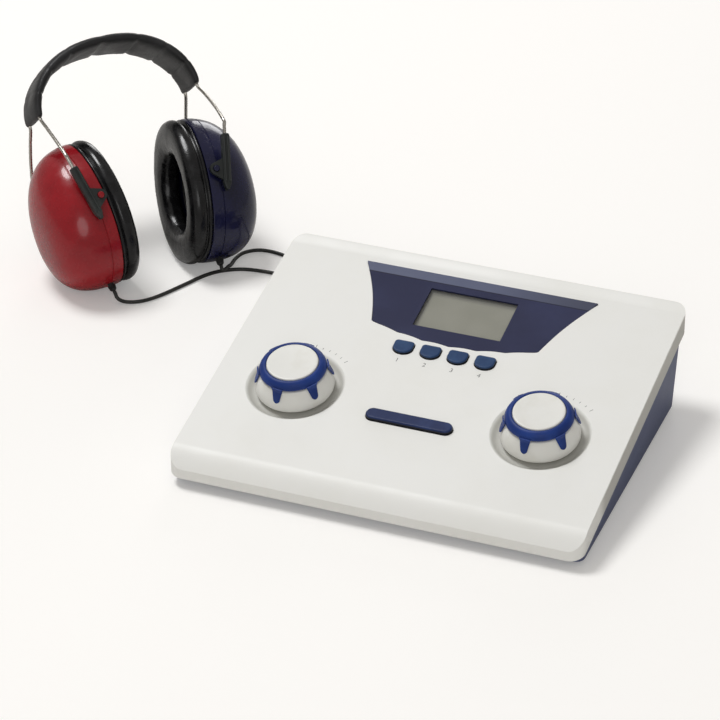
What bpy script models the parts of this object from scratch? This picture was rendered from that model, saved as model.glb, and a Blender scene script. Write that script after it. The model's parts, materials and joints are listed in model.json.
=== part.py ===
"""Screening audiometer: a wedge console with two dials, and a padded wire headset on two cords.

Units are metres, +Z is up and the viewer looks along +Y. Run it with
blender --background --python part.py, or from the text editor.
"""

import math

import bmesh
import bpy
from mathutils import Matrix, Vector

# %% Sizes
MM = 0.001
DEG = math.pi / 180.0

# Clearances
gap = 0.3 * MM          # between pieces that seat on each other
slide_gap = 0.35 * MM   # round a piece that slides or turns
overrun = 2.0 * MM      # how far a cutter runs past the face that it cuts

# Top cover
cover_width = 260 * MM
cover_depth = 206 * MM
cover_front_height = 20 * MM
cover_rear_height = 67 * MM
cover_wall = 2.6 * MM
cover_skirt = 13.5 * MM
cover_corner_radius = 9 * MM
cover_edge_radius = 3.6 * MM
nose_length = 13 * MM
nose_drop = 7.2 * MM
rear_roll_length = 9 * MM
rear_roll_rise = 1.3 * MM

# Base tray
base_wall = 2.4 * MM
base_floor = 2.4 * MM
base_side_inset = 0.8 * MM
base_draft = 2.6 * MM
base_front_inset = 5.2 * MM
base_rear_inset = 9.8 * MM
base_corner_radius = 6 * MM
foot_radius = 7 * MM
foot_height = 3 * MM
foot_inset = 13 * MM

# Case screws and their posts
screw_inset_x = 26 * MM
screw_inset_front = 36 * MM
screw_inset_rear = 38 * MM
screw_head_radius = 2.8 * MM
screw_head_height = 1.5 * MM
screw_shank_radius = 1.2 * MM
screw_length = 12 * MM
post_radius = 4.6 * MM
post_height = 6.4 * MM
boss_radius = 3.6 * MM

# Display
bezel_top_width = 152 * MM
bezel_bottom_width = 108 * MM
bezel_rear_margin = 13.593635 * MM
bezel_height = 51.1 * MM
bezel_waist = 2.6 * MM
bezel_scallop_drop = 9.2 * MM
bezel_strip = 7.2 * MM
bezel_strip_rise = 1.3 * MM
bezel_plate = 1.1 * MM
bezel_recess = 0.25 * MM
window_width = 57 * MM
window_height = 35 * MM
window_drop = 30.4 * MM
lens_border = 2.4 * MM
lens_plate = 1.0 * MM
lcd_border = 5.5 * MM

# Buttons
button_count = 4
button_pitch = 17.6 * MM
button_drop = 18.9 * MM
button_width = 12.5 * MM
button_length = 10.6 * MM
button_height = 2.0 * MM
button_travel = 1.2 * MM
button_flange = 1.0 * MM
button_flange_height = 1.0 * MM
button_stem = 2.5 * MM
button_stem_radius = 1.8 * MM
button_edge_radius = 0.7 * MM

# Tone bar
tone_row = 67.1 * MM
tone_half_length = 27.4 * MM
tone_width = 8.9 * MM
tone_height = 2.6 * MM
tone_travel = 1.6 * MM
tone_edge_radius = 1.1 * MM
tone_stem_length = 16 * MM
tone_switch_length = 20 * MM

# Dials
dial_offset = 78.4 * MM
dial_row = 79.6 * MM
dish_radius = 29.8 * MM
dish_depth = 2.6 * MM
dish_floor_radius = 25.4 * MM
dish_plate = 2.4 * MM
dish_flange = 3.2 * MM
knob_radius = 24 * MM
knob_height = 18 * MM
knob_shoulder = 12.2 * MM
knob_shoulder_radius = 20.6 * MM
knob_running_gap = 0.6 * MM
ring_outer_radius = 21 * MM
cap_radius = 16.2 * MM
cap_plate = 1.5 * MM
claw_count = 6
claw_top_width = 7.0 * MM
claw_bottom_width = 3.4 * MM
claw_length = 6.4 * MM
claw_thickness = 0.9 * MM
claw_turn = -5.5 * DEG
shaft_radius = 3 * MM

# Circuit board and what stands on it
board_drop = 14 * MM
board_plate = 1.6 * MM
board_half_width = 96 * MM
board_front = 40 * MM
board_rear_drop = 7.7 * MM
board_boss_inset = 7 * MM
encoder_side = 13 * MM
encoder_height = 6.5 * MM
tact_side = 6 * MM

# Sockets in the rear wall
socket_height = 27 * MM
socket_flange_radius = 5.6 * MM
socket_flange_plate = 1.6 * MM
socket_barrel_radius = 4.4 * MM
socket_barrel_length = 14 * MM
phone_bore_radius = 3.5 * MM
small_bore_radius = 2.2 * MM
power_bore_radius = 2.9 * MM
right_socket_x = -84 * MM
left_socket_x = -58 * MM
response_socket_x = -30 * MM
power_socket_x = 84 * MM

# Plugs
plug_sleeve_radius = 3.15 * MM
plug_sleeve_length = 11 * MM
plug_body_radius = 5.0 * MM
plug_body_length = 16 * MM
plug_relief_length = 8 * MM

# Headset, in its own frame: X from the right ear to the left, Y to the back, Z to the crown
headset_x = -233.8 * MM
headset_y = 120.4 * MM
headset_turn = 48 * DEG
headset_lean = 39 * DEG

cup_half_height = 49.5 * MM
cup_half_width = 38.5 * MM
cup_depth = 39 * MM
cup_wall = 2.4 * MM
cup_spacing = 36 * MM       # from the middle of the headset to the rim of a cup
cup_converge = 6 * DEG
cushion_depth = 14 * MM
cushion_hole_share = 0.53
earphone_radius = 22 * MM
earphone_depth = 9 * MM

pin_rise = 5 * MM           # above the middle of the cup
pin_depth = 4.5 * MM        # outward from the rim
pin_radius = 2.1 * MM
pin_length = 6.4 * MM

wire_radius = 1.15 * MM
guide_angle = 14 * DEG
guide_length = 38 * MM
guide_below_pin = 14 * MM
guide_width = 5.2 * MM
guide_thickness = 4.6 * MM
guide_ear_reach = 7.2 * MM
guide_ear_plate = 2.2 * MM
guide_side_gap = 1.2 * MM
guide_engaged = 17 * MM

pad_half_width = 36 * MM / 2
pad_end_half_width = 32 * MM / 2
pad_end_thickness = 6.0 * MM
pad_thickness = 7.8 * MM
pad_outer_half_span = 60 * MM
pad_end_height = 119 * MM
crown_height = 163.5 * MM
pad_segment_count = 8
pad_wire_offset = 10.5 * MM
wire_straight = 10.5 * MM   # from the guide's end up to the bend
wire_hang = 12 * MM         # from the pad's end down to the wire's other bend

# Cords
cord_radius = 1.25 * MM
cord_lead = 6 * MM
gland_radius = 2.7 * MM
gland_length = 4 * MM
gland_depth = 8 * MM
gland_turn = 12 * DEG
coil_turns_per_layer = 2
coil_layers = 4
coil_inner_radius = 12 * MM
coil_pitch = 3.0 * MM
coil_points_per_turn = 20

# Plane of the sloped face
slope = math.atan2(cover_rear_height - cover_front_height, cover_depth)
half_depth = cover_depth / 2
half_width = cover_width / 2

# Places up the sloped face, counted from its front edge: the display and the keys keep to the rear edge
face_length = math.hypot(cover_depth, cover_rear_height - cover_front_height)
bezel_top = face_length - bezel_rear_margin
bezel_bottom = bezel_top - bezel_height
window_centre = bezel_top - window_drop
button_row = bezel_bottom - button_drop
board_rear = bezel_top - board_rear_drop


# %% Helpers
for leftover in list(bpy.data.objects):
    bpy.data.objects.remove(leftover, do_unlink=True)

parts = bpy.data.collections.new("screening_audiometer")
cutters = bpy.data.collections.new("cutters")
bpy.context.scene.collection.children.link(parts)
bpy.context.scene.collection.children.link(cutters)


def material(name, colour, roughness, metallic=0.0):
    """A Principled material from an sRGB colour in 0 to 255."""
    made = bpy.data.materials.new(name)
    made.use_nodes = True
    shader = made.node_tree.nodes["Principled BSDF"]
    linear = [(channel / 255) ** 2.2 for channel in colour]
    shader.inputs["Base Color"].default_value = (*linear, 1.0)
    shader.inputs["Roughness"].default_value = roughness
    shader.inputs["Metallic"].default_value = metallic
    made.diffuse_color = (*linear, 1.0)
    return made


shell_white = material("warm_white_plastic", (232, 233, 228), 0.45)
base_blue = material("blue_grey_plastic", (92, 100, 130), 0.5)
display_navy = material("navy_display_frame", (45, 47, 78), 0.4)
lcd_grey = material("lcd_glass", (128, 127, 112), 0.25)
clear_lens = material("clear_lens", (200, 205, 205), 0.1)
key_blue = material("blue_keys", (38, 66, 110), 0.4)
tone_blue = material("dark_blue_bar", (30, 45, 90), 0.35)
grip_blue = material("blue_grip", (30, 58, 135), 0.4)
board_green = material("circuit_board", (30, 80, 50), 0.6)
dark_part = material("black_moulding", (25, 25, 26), 0.5)
rubber = material("rubber_foot", (60, 60, 62), 0.8)
steel = material("spring_steel", (190, 190, 190), 0.25, 1.0)
leather = material("black_leatherette", (20, 20, 22), 0.45)
red_gloss = material("red_cup", (150, 28, 38), 0.15)
blue_gloss = material("blue_cup", (28, 28, 60), 0.15)
guide_grey = material("dark_guide", (45, 50, 48), 0.35, 0.5)
cord_grey = material("cord_rubber", (55, 55, 52), 0.55)


def empty(name, parent=None, location=(0, 0, 0), rotation=(0, 0, 0)):
    made = bpy.data.objects.new(name, None)
    parts.objects.link(made)
    made.parent = parent
    made.location = location
    made.rotation_euler = rotation
    return made


def place(obj, parent, location=(0, 0, 0), rotation=(0, 0, 0), look=None):
    obj.parent = parent
    obj.location = location
    obj.rotation_euler = rotation
    if look:
        obj.data.materials.clear()
        obj.data.materials.append(look)
    return obj


def from_bmesh(name, shape, where=parts):
    """An object holding the bmesh, which is freed."""
    bmesh.ops.recalc_face_normals(shape, faces=shape.faces)
    mesh = bpy.data.meshes.new(name)
    shape.to_mesh(mesh)
    shape.free()
    made = bpy.data.objects.new(name, mesh)
    where.objects.link(made)
    if where is cutters:
        made.hide_render = True
        made.display_type = "WIRE"
    return made


def box(name, size, centre=(0, 0, 0), where=parts):
    shape = bmesh.new()
    bmesh.ops.create_cube(shape, size=1.0)
    bmesh.ops.scale(shape, vec=size, verts=shape.verts)
    bmesh.ops.translate(shape, vec=centre, verts=shape.verts)
    return from_bmesh(name, shape, where)


def rod(name, radius, bottom, top, steps=24, where=parts, end_radius=None):
    """A cylinder or a cone along Z."""
    shape = bmesh.new()
    bmesh.ops.create_cone(
        shape, cap_ends=True, segments=steps, radius1=radius,
        radius2=radius if end_radius is None else end_radius, depth=top - bottom,
    )
    bmesh.ops.translate(shape, vec=(0, 0, (top + bottom) / 2), verts=shape.verts)
    return from_bmesh(name, shape, where)


def turned(name, profile, steps=32, where=parts):
    """A profile of (radius, height) from top to bottom, turned round Z with a Screw modifier."""
    mesh = bpy.data.meshes.new(name)
    points = [(radius, 0, height) for radius, height in profile]
    closed = profile[0][0] > 0 or profile[-1][0] > 0
    edges = [(i, i + 1) for i in range(len(points) - 1)]
    if closed:
        edges.append((len(points) - 1, 0))
    mesh.from_pydata(points, edges, [])
    made = bpy.data.objects.new(name, mesh)
    where.objects.link(made)
    screw = made.modifiers.new("turn", "SCREW")
    screw.steps = screw.render_steps = steps
    screw.use_merge_vertices = True
    screw.merge_threshold = 0.00001
    screw.use_smooth_shade = False
    if where is cutters:
        made.hide_render = True
        made.display_type = "WIRE"
    return made


def outline_prism(name, outline, bottom, top, where=parts):
    """A flat outline of (x, y) points, extruded from bottom to top."""
    shape = bmesh.new()
    ring = [shape.verts.new((x, y, bottom)) for x, y in outline]
    face = shape.faces.new(ring)
    raised = bmesh.ops.extrude_face_region(shape, geom=[face])
    bmesh.ops.translate(
        shape, vec=(0, 0, top - bottom),
        verts=[item for item in raised["geom"] if isinstance(item, bmesh.types.BMVert)],
    )
    return from_bmesh(name, shape, where)


def tube(name, points, radius, where=parts, resolution=2, closed=False):
    """A round tube along the points, as a POLY curve with filled caps."""
    curve = bpy.data.curves.new(name, "CURVE")
    curve.dimensions = "3D"
    curve.bevel_depth = radius
    curve.bevel_resolution = resolution
    curve.use_fill_caps = True
    spline = curve.splines.new("POLY")
    spline.points.add(len(points) - 1)
    for point, at in zip(spline.points, points):
        point.co = (*at, 1.0)
    spline.use_cyclic_u = closed
    made = bpy.data.objects.new(name, curve)
    where.objects.link(made)
    return made


def settled(obj):
    """The object with its modifiers or its curve made into a plain mesh, with its caps welded."""
    bpy.context.view_layer.update()
    graph = bpy.context.evaluated_depsgraph_get()
    mesh = bpy.data.meshes.new_from_object(obj.evaluated_get(graph), depsgraph=graph)
    shape = bmesh.new()
    shape.from_mesh(mesh)
    bmesh.ops.remove_doubles(shape, verts=shape.verts, dist=gap / 100)
    bmesh.ops.recalc_face_normals(shape, faces=shape.faces)
    shape.to_mesh(mesh)
    shape.free()
    name, where, world = obj.name, obj.users_collection[0], obj.matrix_basis.copy()
    hidden, parent = obj.hide_render, obj.parent
    bpy.data.objects.remove(obj, do_unlink=True)
    made = bpy.data.objects.new(name, mesh)
    where.objects.link(made)
    made.parent = parent
    made.matrix_basis = world
    if hidden:
        made.hide_render = True
        made.display_type = "WIRE"
    return made


def stretched(obj, factors):
    """The settled object with its mesh scaled along X, Y and Z."""
    made = settled(obj)
    made.data.transform(Matrix.Diagonal((*factors, 1.0)))
    return made


def boolean(target, other, operation):
    """Adds a Boolean with a tool object that moves with the target."""
    if other.parent is None:
        other.parent = target
    step = target.modifiers.new(operation.lower(), "BOOLEAN")
    step.operation = operation
    step.solver = "EXACT"
    step.object = other
    if other.users_collection[0] is not cutters:
        other.users_collection[0].objects.unlink(other)
        cutters.objects.link(other)
    other.hide_render = True
    other.display_type = "WIRE"
    return target


def cut(target, *others):
    for other in others:
        boolean(target, other, "DIFFERENCE")
    return target


def join(target, *others):
    for other in others:
        boolean(target, other, "UNION")
    return target


def bevel(obj, width, segments=2, angle=40 * DEG):
    step = obj.modifiers.new("edges", "BEVEL")
    step.width = width
    step.segments = segments
    step.limit_method = "ANGLE"
    step.angle_limit = angle
    return obj


def bevel_edges(shape, chosen, radius, segments):
    bmesh.ops.bevel(
        shape, geom=[edge for edge in shape.edges if chosen(edge)], offset=radius,
        segments=segments, profile=0.5, affect="EDGES", clamp_overlap=True,
    )


def arc(centre, radius, start, end, count):
    """Points along an arc, both ends included."""
    return [
        (centre[0] + radius * math.cos(start + (end - start) * i / count),
         centre[1] + radius * math.sin(start + (end - start) * i / count))
        for i in range(count + 1)
    ]


def smooth_route(points, step):
    """A Catmull-Rom curve through the points, read at an even step."""
    knots = [Vector(point) for point in points]
    ends = [2 * knots[0] - knots[1]] + knots + [2 * knots[-1] - knots[-2]]
    dense = []
    share_count = 40
    for a, b, c, d in zip(ends, ends[1:], ends[2:], ends[3:]):
        for i in range(share_count):
            t = i / share_count
            dense.append(0.5 * (2 * b + (c - a) * t + (2 * a - 5 * b + 4 * c - d) * t * t
                                + (3 * b - a - 3 * c + d) * t ** 3))
    dense.append(knots[-1])
    lengths = [0.0]
    for a, b in zip(dense, dense[1:]):
        lengths.append(lengths[-1] + (b - a).length)
    count = max(2, round(lengths[-1] / step))
    read, at = [], 0
    for i in range(count + 1):
        want = lengths[-1] * i / count
        while at < len(dense) - 2 and lengths[at + 1] < want:
            at += 1
        span = lengths[at + 1] - lengths[at]
        share = (want - lengths[at]) / span if span else 0.0
        read.append(dense[at].lerp(dense[at + 1], min(1.0, max(0.0, share))))
    return read


# %% Frames
audiometer = empty("audiometer")
face = empty("sloped_face", audiometer, (0, -half_depth, cover_front_height), (slope, 0, 0))


def top_height(y):
    """Height of the sloped plane over a place from front to back."""
    return cover_front_height + (y + half_depth) * math.tan(slope)


# %% Top cover
def cover_height(y):
    """The cover's top line: a lowered nose in front, the sloped plane, and a small roll at the back."""
    height = top_height(y)
    into_nose = (nose_length - (y + half_depth)) / nose_length
    if into_nose > 0:
        height -= nose_drop * into_nose ** 1.8
    into_roll = (rear_roll_length - (half_depth - y)) / rear_roll_length
    if into_roll > 0:
        height += rear_roll_rise * math.sin(min(1.0, into_roll) * math.pi / 2) ** 2
    return height


nose_shares = (0.14, 0.32, 0.55, 0.8, 1.0)
roll_shares = (0.35, 0.7, 1.0)


def inset_height(y, inset):
    """The top line, lowered square to itself."""
    step = gap
    lean = (cover_height(y + step) - cover_height(y - step)) / (2 * step)
    return cover_height(y) - inset * math.hypot(1, lean)


def cover_block(name, inset, skirt, corner_radius, edge_radius, corner_segments, where=parts):
    """The cover as a solid block, drawn in all round and on top by an inset."""
    width, depth = cover_width - 2 * inset, cover_depth - 2 * inset
    shape = bmesh.new()
    bmesh.ops.create_cube(shape, size=1.0)
    bmesh.ops.scale(shape, vec=(width, depth, skirt), verts=shape.verts)
    bevel_edges(shape, lambda edge: abs(edge.verts[0].co.z - edge.verts[1].co.z) > skirt / 2,
                corner_radius, corner_segments)
    for y in ([-half_depth + share * nose_length for share in nose_shares]
              + [half_depth - share * rear_roll_length for share in roll_shares]):
        if abs(y) < depth / 2 - 2 * gap:
            bmesh.ops.bisect_plane(
                shape, geom=shape.verts[:] + shape.edges[:] + shape.faces[:],
                plane_co=(0, y, 0), plane_no=(0, 1, 0), dist=gap / 100,
            )
    for vert in shape.verts:
        if vert.co.z > 0:
            vert.co.z = inset_height(vert.co.y, inset)
        else:
            vert.co.z = top_height(vert.co.y) - skirt
    bmesh.ops.delete(
        shape, geom=[f for f in shape.faces if f.calc_center_median().z < top_height(
            f.calc_center_median().y) - 0.95 * skirt], context="FACES_ONLY",
    )
    bevel_edges(
        shape, lambda edge: len(edge.link_faces) == 2 and sum(
            abs(f.normal.z) < 0.2 for f in edge.link_faces) == 1,
        edge_radius, 3 if inset == 0 else 1,
    )
    bmesh.ops.holes_fill(shape, edges=shape.edges[:], sides=0)
    return from_bmesh(name, shape, where)


top_cover = place(cover_block("top_cover", 0.0, cover_skirt, cover_corner_radius,
                              cover_edge_radius, 4), audiometer, look=shell_white)
cut(top_cover, place(
    cover_block("cover_inside", cover_wall, cover_skirt + overrun,
                cover_corner_radius - cover_wall, cover_edge_radius - cover_wall, 2, cutters),
    audiometer))


# %% Dishes under the dials
dial_places = {"level": -dial_offset, "frequency": dial_offset}
shaft_hole = shaft_radius + slide_gap + gap
for dial, x in dial_places.items():
    boss = rod(f"{dial}_dish_boss", dish_radius + dish_flange, -dish_depth - dish_plate,
               -cover_wall / 2, 20, cutters)
    join(top_cover, place(boss, face, (x, dial_row, 0)))
    dish = turned(f"{dial}_dish", [
        (0, overrun), (dish_radius + overrun / 4, overrun), (dish_radius, 0),
        (0.6 * dish_radius + 0.4 * dish_floor_radius, -0.55 * dish_depth),
        (dish_floor_radius, -dish_depth), (0, -dish_depth),
    ], 28, cutters)
    cut(top_cover, place(dish, face, (x, dial_row, 0)))
    hole = rod(f"{dial}_shaft_hole", shaft_hole, -dish_depth - dish_plate - overrun, overrun,
               12, cutters)
    cut(top_cover, place(hole, face, (x, dial_row, 0)))


# %% Display frame outline
def bezel_outline(grow=0.0):
    """A trapezium with sides that curve in a little and a lower edge that dips over the keys."""
    top = bezel_top + grow
    points = []
    side_shares = (0.0, 0.25, 0.5, 0.75, 1.0)
    for share in side_shares:
        width = bezel_bottom_width + (bezel_top_width - bezel_bottom_width) * share
        half = width / 2 - bezel_waist * math.sin(math.pi * share) + grow
        points.append((half, bezel_bottom + (top - bezel_bottom) * share))
    left = [(-x, y) for x, y in reversed(points)]
    dip = []
    half = bezel_bottom_width / 2 + grow
    dip_count = 20
    reach = button_pitch * button_count / 2
    for i in range(1, dip_count):
        x = -half + 2 * half * i / dip_count
        share = min(1.0, abs(x) / reach)
        depth = bezel_scallop_drop * (1 - share ** 2) ** 0.75
        scallop = 0.12 * bezel_scallop_drop * abs(math.sin(math.pi * x / button_pitch))
        dip.append((x, bezel_bottom - max(0.0, depth - scallop) - grow))
    return points + left + dip


pocket = outline_prism("bezel_pocket", bezel_outline(gap), -bezel_recess - bezel_plate - gap,
                       overrun * 2, cutters)
cut(top_cover, place(pocket, face))
lens_width = window_width + 2 * lens_border
lens_height = window_height + 2 * lens_border
lcd_window = box("lcd_window", (lens_width + 2 * gap, lens_height + 2 * gap, 4 * cover_wall),
                 where=cutters)
cut(top_cover, place(lcd_window, face, (0, window_centre, 0)))

bezel = outline_prism("display_bezel", bezel_outline(), -bezel_recess - bezel_plate,
                      -bezel_recess)
shape = bmesh.new()
shape.from_mesh(bezel.data)
strip_line = bezel_top - bezel_strip
bmesh.ops.bisect_plane(
    shape, geom=shape.verts[:] + shape.edges[:] + shape.faces[:],
    plane_co=(0, strip_line, 0), plane_no=(0, 1, 0), dist=gap / 100,
)
for vert in shape.verts:
    if vert.co.z > -bezel_recess - bezel_plate / 2 and vert.co.y > strip_line:
        vert.co.z += bezel_strip_rise * (vert.co.y - strip_line) / bezel_strip
shape.to_mesh(bezel.data)
shape.free()
display_bezel = place(bezel, face, look=display_navy)
window = box("bezel_window", (window_width, window_height, 6 * bezel_plate), where=cutters)
cut(display_bezel, place(window, face, (0, window_centre, 0)))

lens_top = -bezel_recess - bezel_plate - gap
display_lens = place(
    box("display_lens", (lens_width, lens_height, lens_plate),
        (0, 0, lens_top - lens_plate / 2)),
    face, (0, window_centre, 0), look=clear_lens)
lcd_top = min(lens_top - lens_plate, -cover_wall) - gap
lcd_module = place(
    box("lcd_module", (window_width + 2 * lcd_border, window_height + 2 * lcd_border,
                       board_drop + lcd_top - gap),
        (0, 0, (lcd_top - board_drop + gap) / 2)),
    face, (0, window_centre, 0), look=lcd_grey)


# %% Keys
def key_outline(grow=0.0):
    """A D lying on its back: flat side up the slope, round side toward the user."""
    half = button_width / 2 + grow
    flat = button_length / 2 + grow
    corner = 0.16 * button_width
    start = 0.41 * button_width - button_length / 2
    round_side = [
        (half * math.cos(angle), start - (flat + start) * math.sin(angle))
        for angle in [math.pi * i / 9 for i in range(10)]
    ]
    return [(half, flat - corner), (half - corner, flat), (corner - half, flat),
            (-half, flat - corner)] + [(-x, y) for x, y in round_side]


button_places = [
    button_pitch * (i - (button_count - 1) / 2) for i in range(button_count)
]
flange_top = -cover_wall - gap
tact_top = flange_top - button_flange_height - button_stem - button_travel - 2 * gap
for i, x in enumerate(button_places):
    hole = outline_prism(f"button_hole_{i + 1}", key_outline(slide_gap), -3 * cover_wall,
                         overrun, cutters)
    cut(top_cover, place(hole, face, (x, button_row, 0)))
    key = outline_prism(f"function_button_{i + 1}", key_outline(), flange_top - gap,
                        button_height)
    bevel(key, button_edge_radius, 1, 60 * DEG)
    flange = outline_prism(f"button_flange_{i + 1}", key_outline(button_flange),
                           flange_top - button_flange_height, flange_top)
    stem = rod(f"button_stem_{i + 1}", button_stem_radius,
               flange_top - button_flange_height - button_stem,
               flange_top - button_flange_height / 2, 8)
    join(key, flange, stem)
    place(key, face, (x, button_row, 0), look=key_blue)


# %% Tone bar
def pill(half_length, radius):
    straight = half_length - radius
    return (arc((straight, 0), radius, -math.pi / 2, math.pi / 2, 6)
            + arc((-straight, 0), radius, math.pi / 2, 1.5 * math.pi, 6))


slot = outline_prism("tone_slot", pill(tone_half_length + slide_gap, tone_width / 2 + slide_gap),
                     -3 * cover_wall, overrun, cutters)
cut(top_cover, place(slot, face, (0, tone_row, 0)))
tone_bar = outline_prism("tone_bar", pill(tone_half_length, tone_width / 2), flange_top - gap,
                         tone_height)
bevel(tone_bar, tone_edge_radius, 2, 60 * DEG)
join(
    tone_bar,
    outline_prism("tone_flange", pill(tone_half_length + button_flange,
                                      tone_width / 2 + button_flange),
                  flange_top - button_flange_height, flange_top),
    box("tone_stem", (tone_stem_length, tone_width / 2, button_stem + button_flange_height / 2),
        (0, 0, flange_top - button_flange_height - button_stem / 2
         + button_flange_height / 4)),
)
place(tone_bar, face, (0, tone_row, 0), look=tone_blue)
switch_top = flange_top - button_flange_height - button_stem - tone_travel - 2 * gap
tone_switch = place(
    box("tone_switch", (tone_switch_length, tone_width / 2 + 2 * button_flange,
                        board_drop + switch_top - gap),
        (0, 0, (switch_top - board_drop + gap) / 2)),
    face, (0, tone_row, 0), look=dark_part)


# %% Circuit board with the key switches
board_size = (2 * board_half_width, board_rear - board_front, board_plate)
board_middle = (board_front + board_rear) / 2
main_board = place(box("main_board", board_size, (0, 0, -board_drop - board_plate / 2)),
                   face, (0, board_middle, 0), look=board_green)
for i, x in enumerate(button_places):
    tact = box(f"tact_switch_{i + 1}",
               (tact_side, tact_side, board_drop + tact_top + board_plate / 2),
               (0, 0, (tact_top - board_drop - board_plate / 2) / 2))
    join(main_board, place(tact, face, (x, button_row, 0)))
boss_x = board_half_width - board_boss_inset
for i, (x, y) in enumerate((
        (-boss_x / 2, board_front + board_boss_inset),
        (boss_x / 2, board_front + board_boss_inset),
        (-boss_x, board_rear - board_boss_inset), (boss_x, board_rear - board_boss_inset))):
    boss = rod(f"board_boss_{i + 1}", boss_radius, -board_drop + gap, -cover_wall / 2, 8,
               cutters)
    join(top_cover, place(boss, face, (x, y, 0)))


# %% Dials
knob_base = -dish_depth + knob_running_gap
shaft_foot = -board_drop + gap + encoder_height * 0.3
encoder_top = -board_drop + gap + encoder_height


def body_radius(height):
    """Radius of the knob's flank, which draws in toward its shoulder."""
    share = min(1.0, max(0.0, height / knob_shoulder))
    return knob_radius - (knob_radius - knob_shoulder_radius) * share ** 1.7


flank_shares = (1.0, 0.8, 0.5, 0.0)
core_radius = cap_radius
ring_inner_radius = cap_radius + 2 * gap
ring_top = knob_height - cap_plate / 3
for dial, x in dial_places.items():
    axis = empty(f"{dial}_dial", face, (x, dial_row, 0))
    knob = turned(f"{dial}_knob", [
        (0, knob_height - cap_plate - gap), (core_radius, knob_height - cap_plate - gap),
        (core_radius, knob_shoulder),
    ] + [(body_radius(share * knob_shoulder), share * knob_shoulder) for share in flank_shares]
        + [(knob_radius, knob_base), (0, knob_base)], 28)
    bore = rod(f"{dial}_knob_bore", shaft_radius + gap, knob_base - overrun,
               0.7 * knob_height + gap, 10, cutters)
    cut(place(knob, axis, look=shell_white), place(bore, axis))
    place(rod(f"{dial}_shaft", shaft_radius, shaft_foot, 0.7 * knob_height, 12), axis,
          look=steel)
    place(turned(f"{dial}_knob_cap", [
        (0, knob_height), (0.8 * cap_radius, knob_height - 0.06 * cap_plate),
        (cap_radius - cap_plate / 4, knob_height - cap_plate / 4),
        (cap_radius, knob_height - cap_plate / 2), (cap_radius, knob_height - cap_plate),
        (0, knob_height - cap_plate),
    ], 28), axis, look=shell_white)
    ring_foot = knob_shoulder + gap
    ring = turned(f"{dial}_grip_ring", [
        (ring_inner_radius, ring_top), (0.3 * ring_inner_radius + 0.7 * ring_outer_radius,
                                        ring_top),
        (ring_outer_radius, ring_top - 0.25 * (ring_top - ring_foot)),
        (ring_outer_radius, ring_foot), (ring_inner_radius, ring_foot),
    ], 28)
    claws = bmesh.new()
    claw_top = ring_foot + 0.45 * (ring_top - ring_foot)
    claw_foot = knob_shoulder - claw_length
    foot_radius_inside = body_radius(claw_foot) + gap
    top_radius_inside = ring_outer_radius - claw_thickness
    for i in range(claw_count):
        before = set(claws.verts)
        bmesh.ops.create_cube(claws, size=1.0)
        for vert in set(claws.verts) - before:
            up, out = vert.co.z > 0, vert.co.x > 0
            width = claw_top_width if up else claw_bottom_width
            inside = top_radius_inside if up else foot_radius_inside
            radius = inside + (claw_thickness * (1.8 if up else 1.0) if out else 0.0)
            vert.co = Matrix.Rotation(claw_turn + (i + 0.5) * 360 * DEG / claw_count, 3, "Z") @ Vector((
                radius, math.copysign(width / 2, vert.co.y), claw_top if up else claw_foot))
    join(place(ring, axis, look=grip_blue), place(from_bmesh(f"{dial}_claws", claws, cutters),
                                                  axis))
    encoder = box(f"{dial}_encoder", (encoder_side, encoder_side, encoder_height),
                  (0, 0, encoder_top - encoder_height / 2))
    seat = rod(f"{dial}_encoder_bore", shaft_radius + gap, shaft_foot - gap,
               encoder_top + overrun, 10, cutters)
    cut(place(encoder, face, (x, dial_row, 0), look=dark_part),
        place(seat, face, (x, dial_row, 0)))


# %% Base tray
base_bottom = foot_height + gap
base_front = -half_depth + base_front_inset
base_back = half_depth - base_rear_inset
base_half = half_width - base_side_inset


def tray_rim(y):
    return top_height(y) - cover_skirt - gap


shape = bmesh.new()
bmesh.ops.create_cube(shape, size=1.0)
for vert in shape.verts:
    up = vert.co.z > 0
    y = base_back if vert.co.y > 0 else base_front
    wall_share = (tray_rim(y) - base_bottom) / (tray_rim(base_back) - base_bottom)
    half = base_half if up else base_half - base_draft * wall_share
    vert.co = (math.copysign(half, vert.co.x), y, tray_rim(y) if up else base_bottom)
bevel_edges(shape, lambda edge: min(v.co.z for v in edge.verts) < base_bottom + gap
            and max(v.co.z for v in edge.verts) > base_bottom + gap
            and (edge.verts[0].co - edge.verts[1].co).length > 0, base_corner_radius, 4)
bmesh.ops.delete(shape, geom=[f for f in shape.faces if f.normal.z > 0.8],
                 context="FACES_ONLY")
base_tray = place(from_bmesh("base_tray", shape), audiometer, look=base_blue)
wall = base_tray.modifiers.new("wall", "SOLIDIFY")
wall.thickness = base_wall
wall.offset = -1.0
wall.use_even_offset = True

back_panel_half = half_width - cover_wall - 2 * base_wall - base_corner_radius
back_panel_top = top_height(base_back) - cover_wall / math.cos(slope) - 4 * gap
panel_foot = base_bottom + base_floor / 2
join(base_tray, box(
    "back_panel", (2 * back_panel_half, base_wall, back_panel_top - panel_foot),
    (0, base_back - base_wall / 2 - 0.01 * base_wall, (back_panel_top + panel_foot) / 2),
    cutters))

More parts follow.
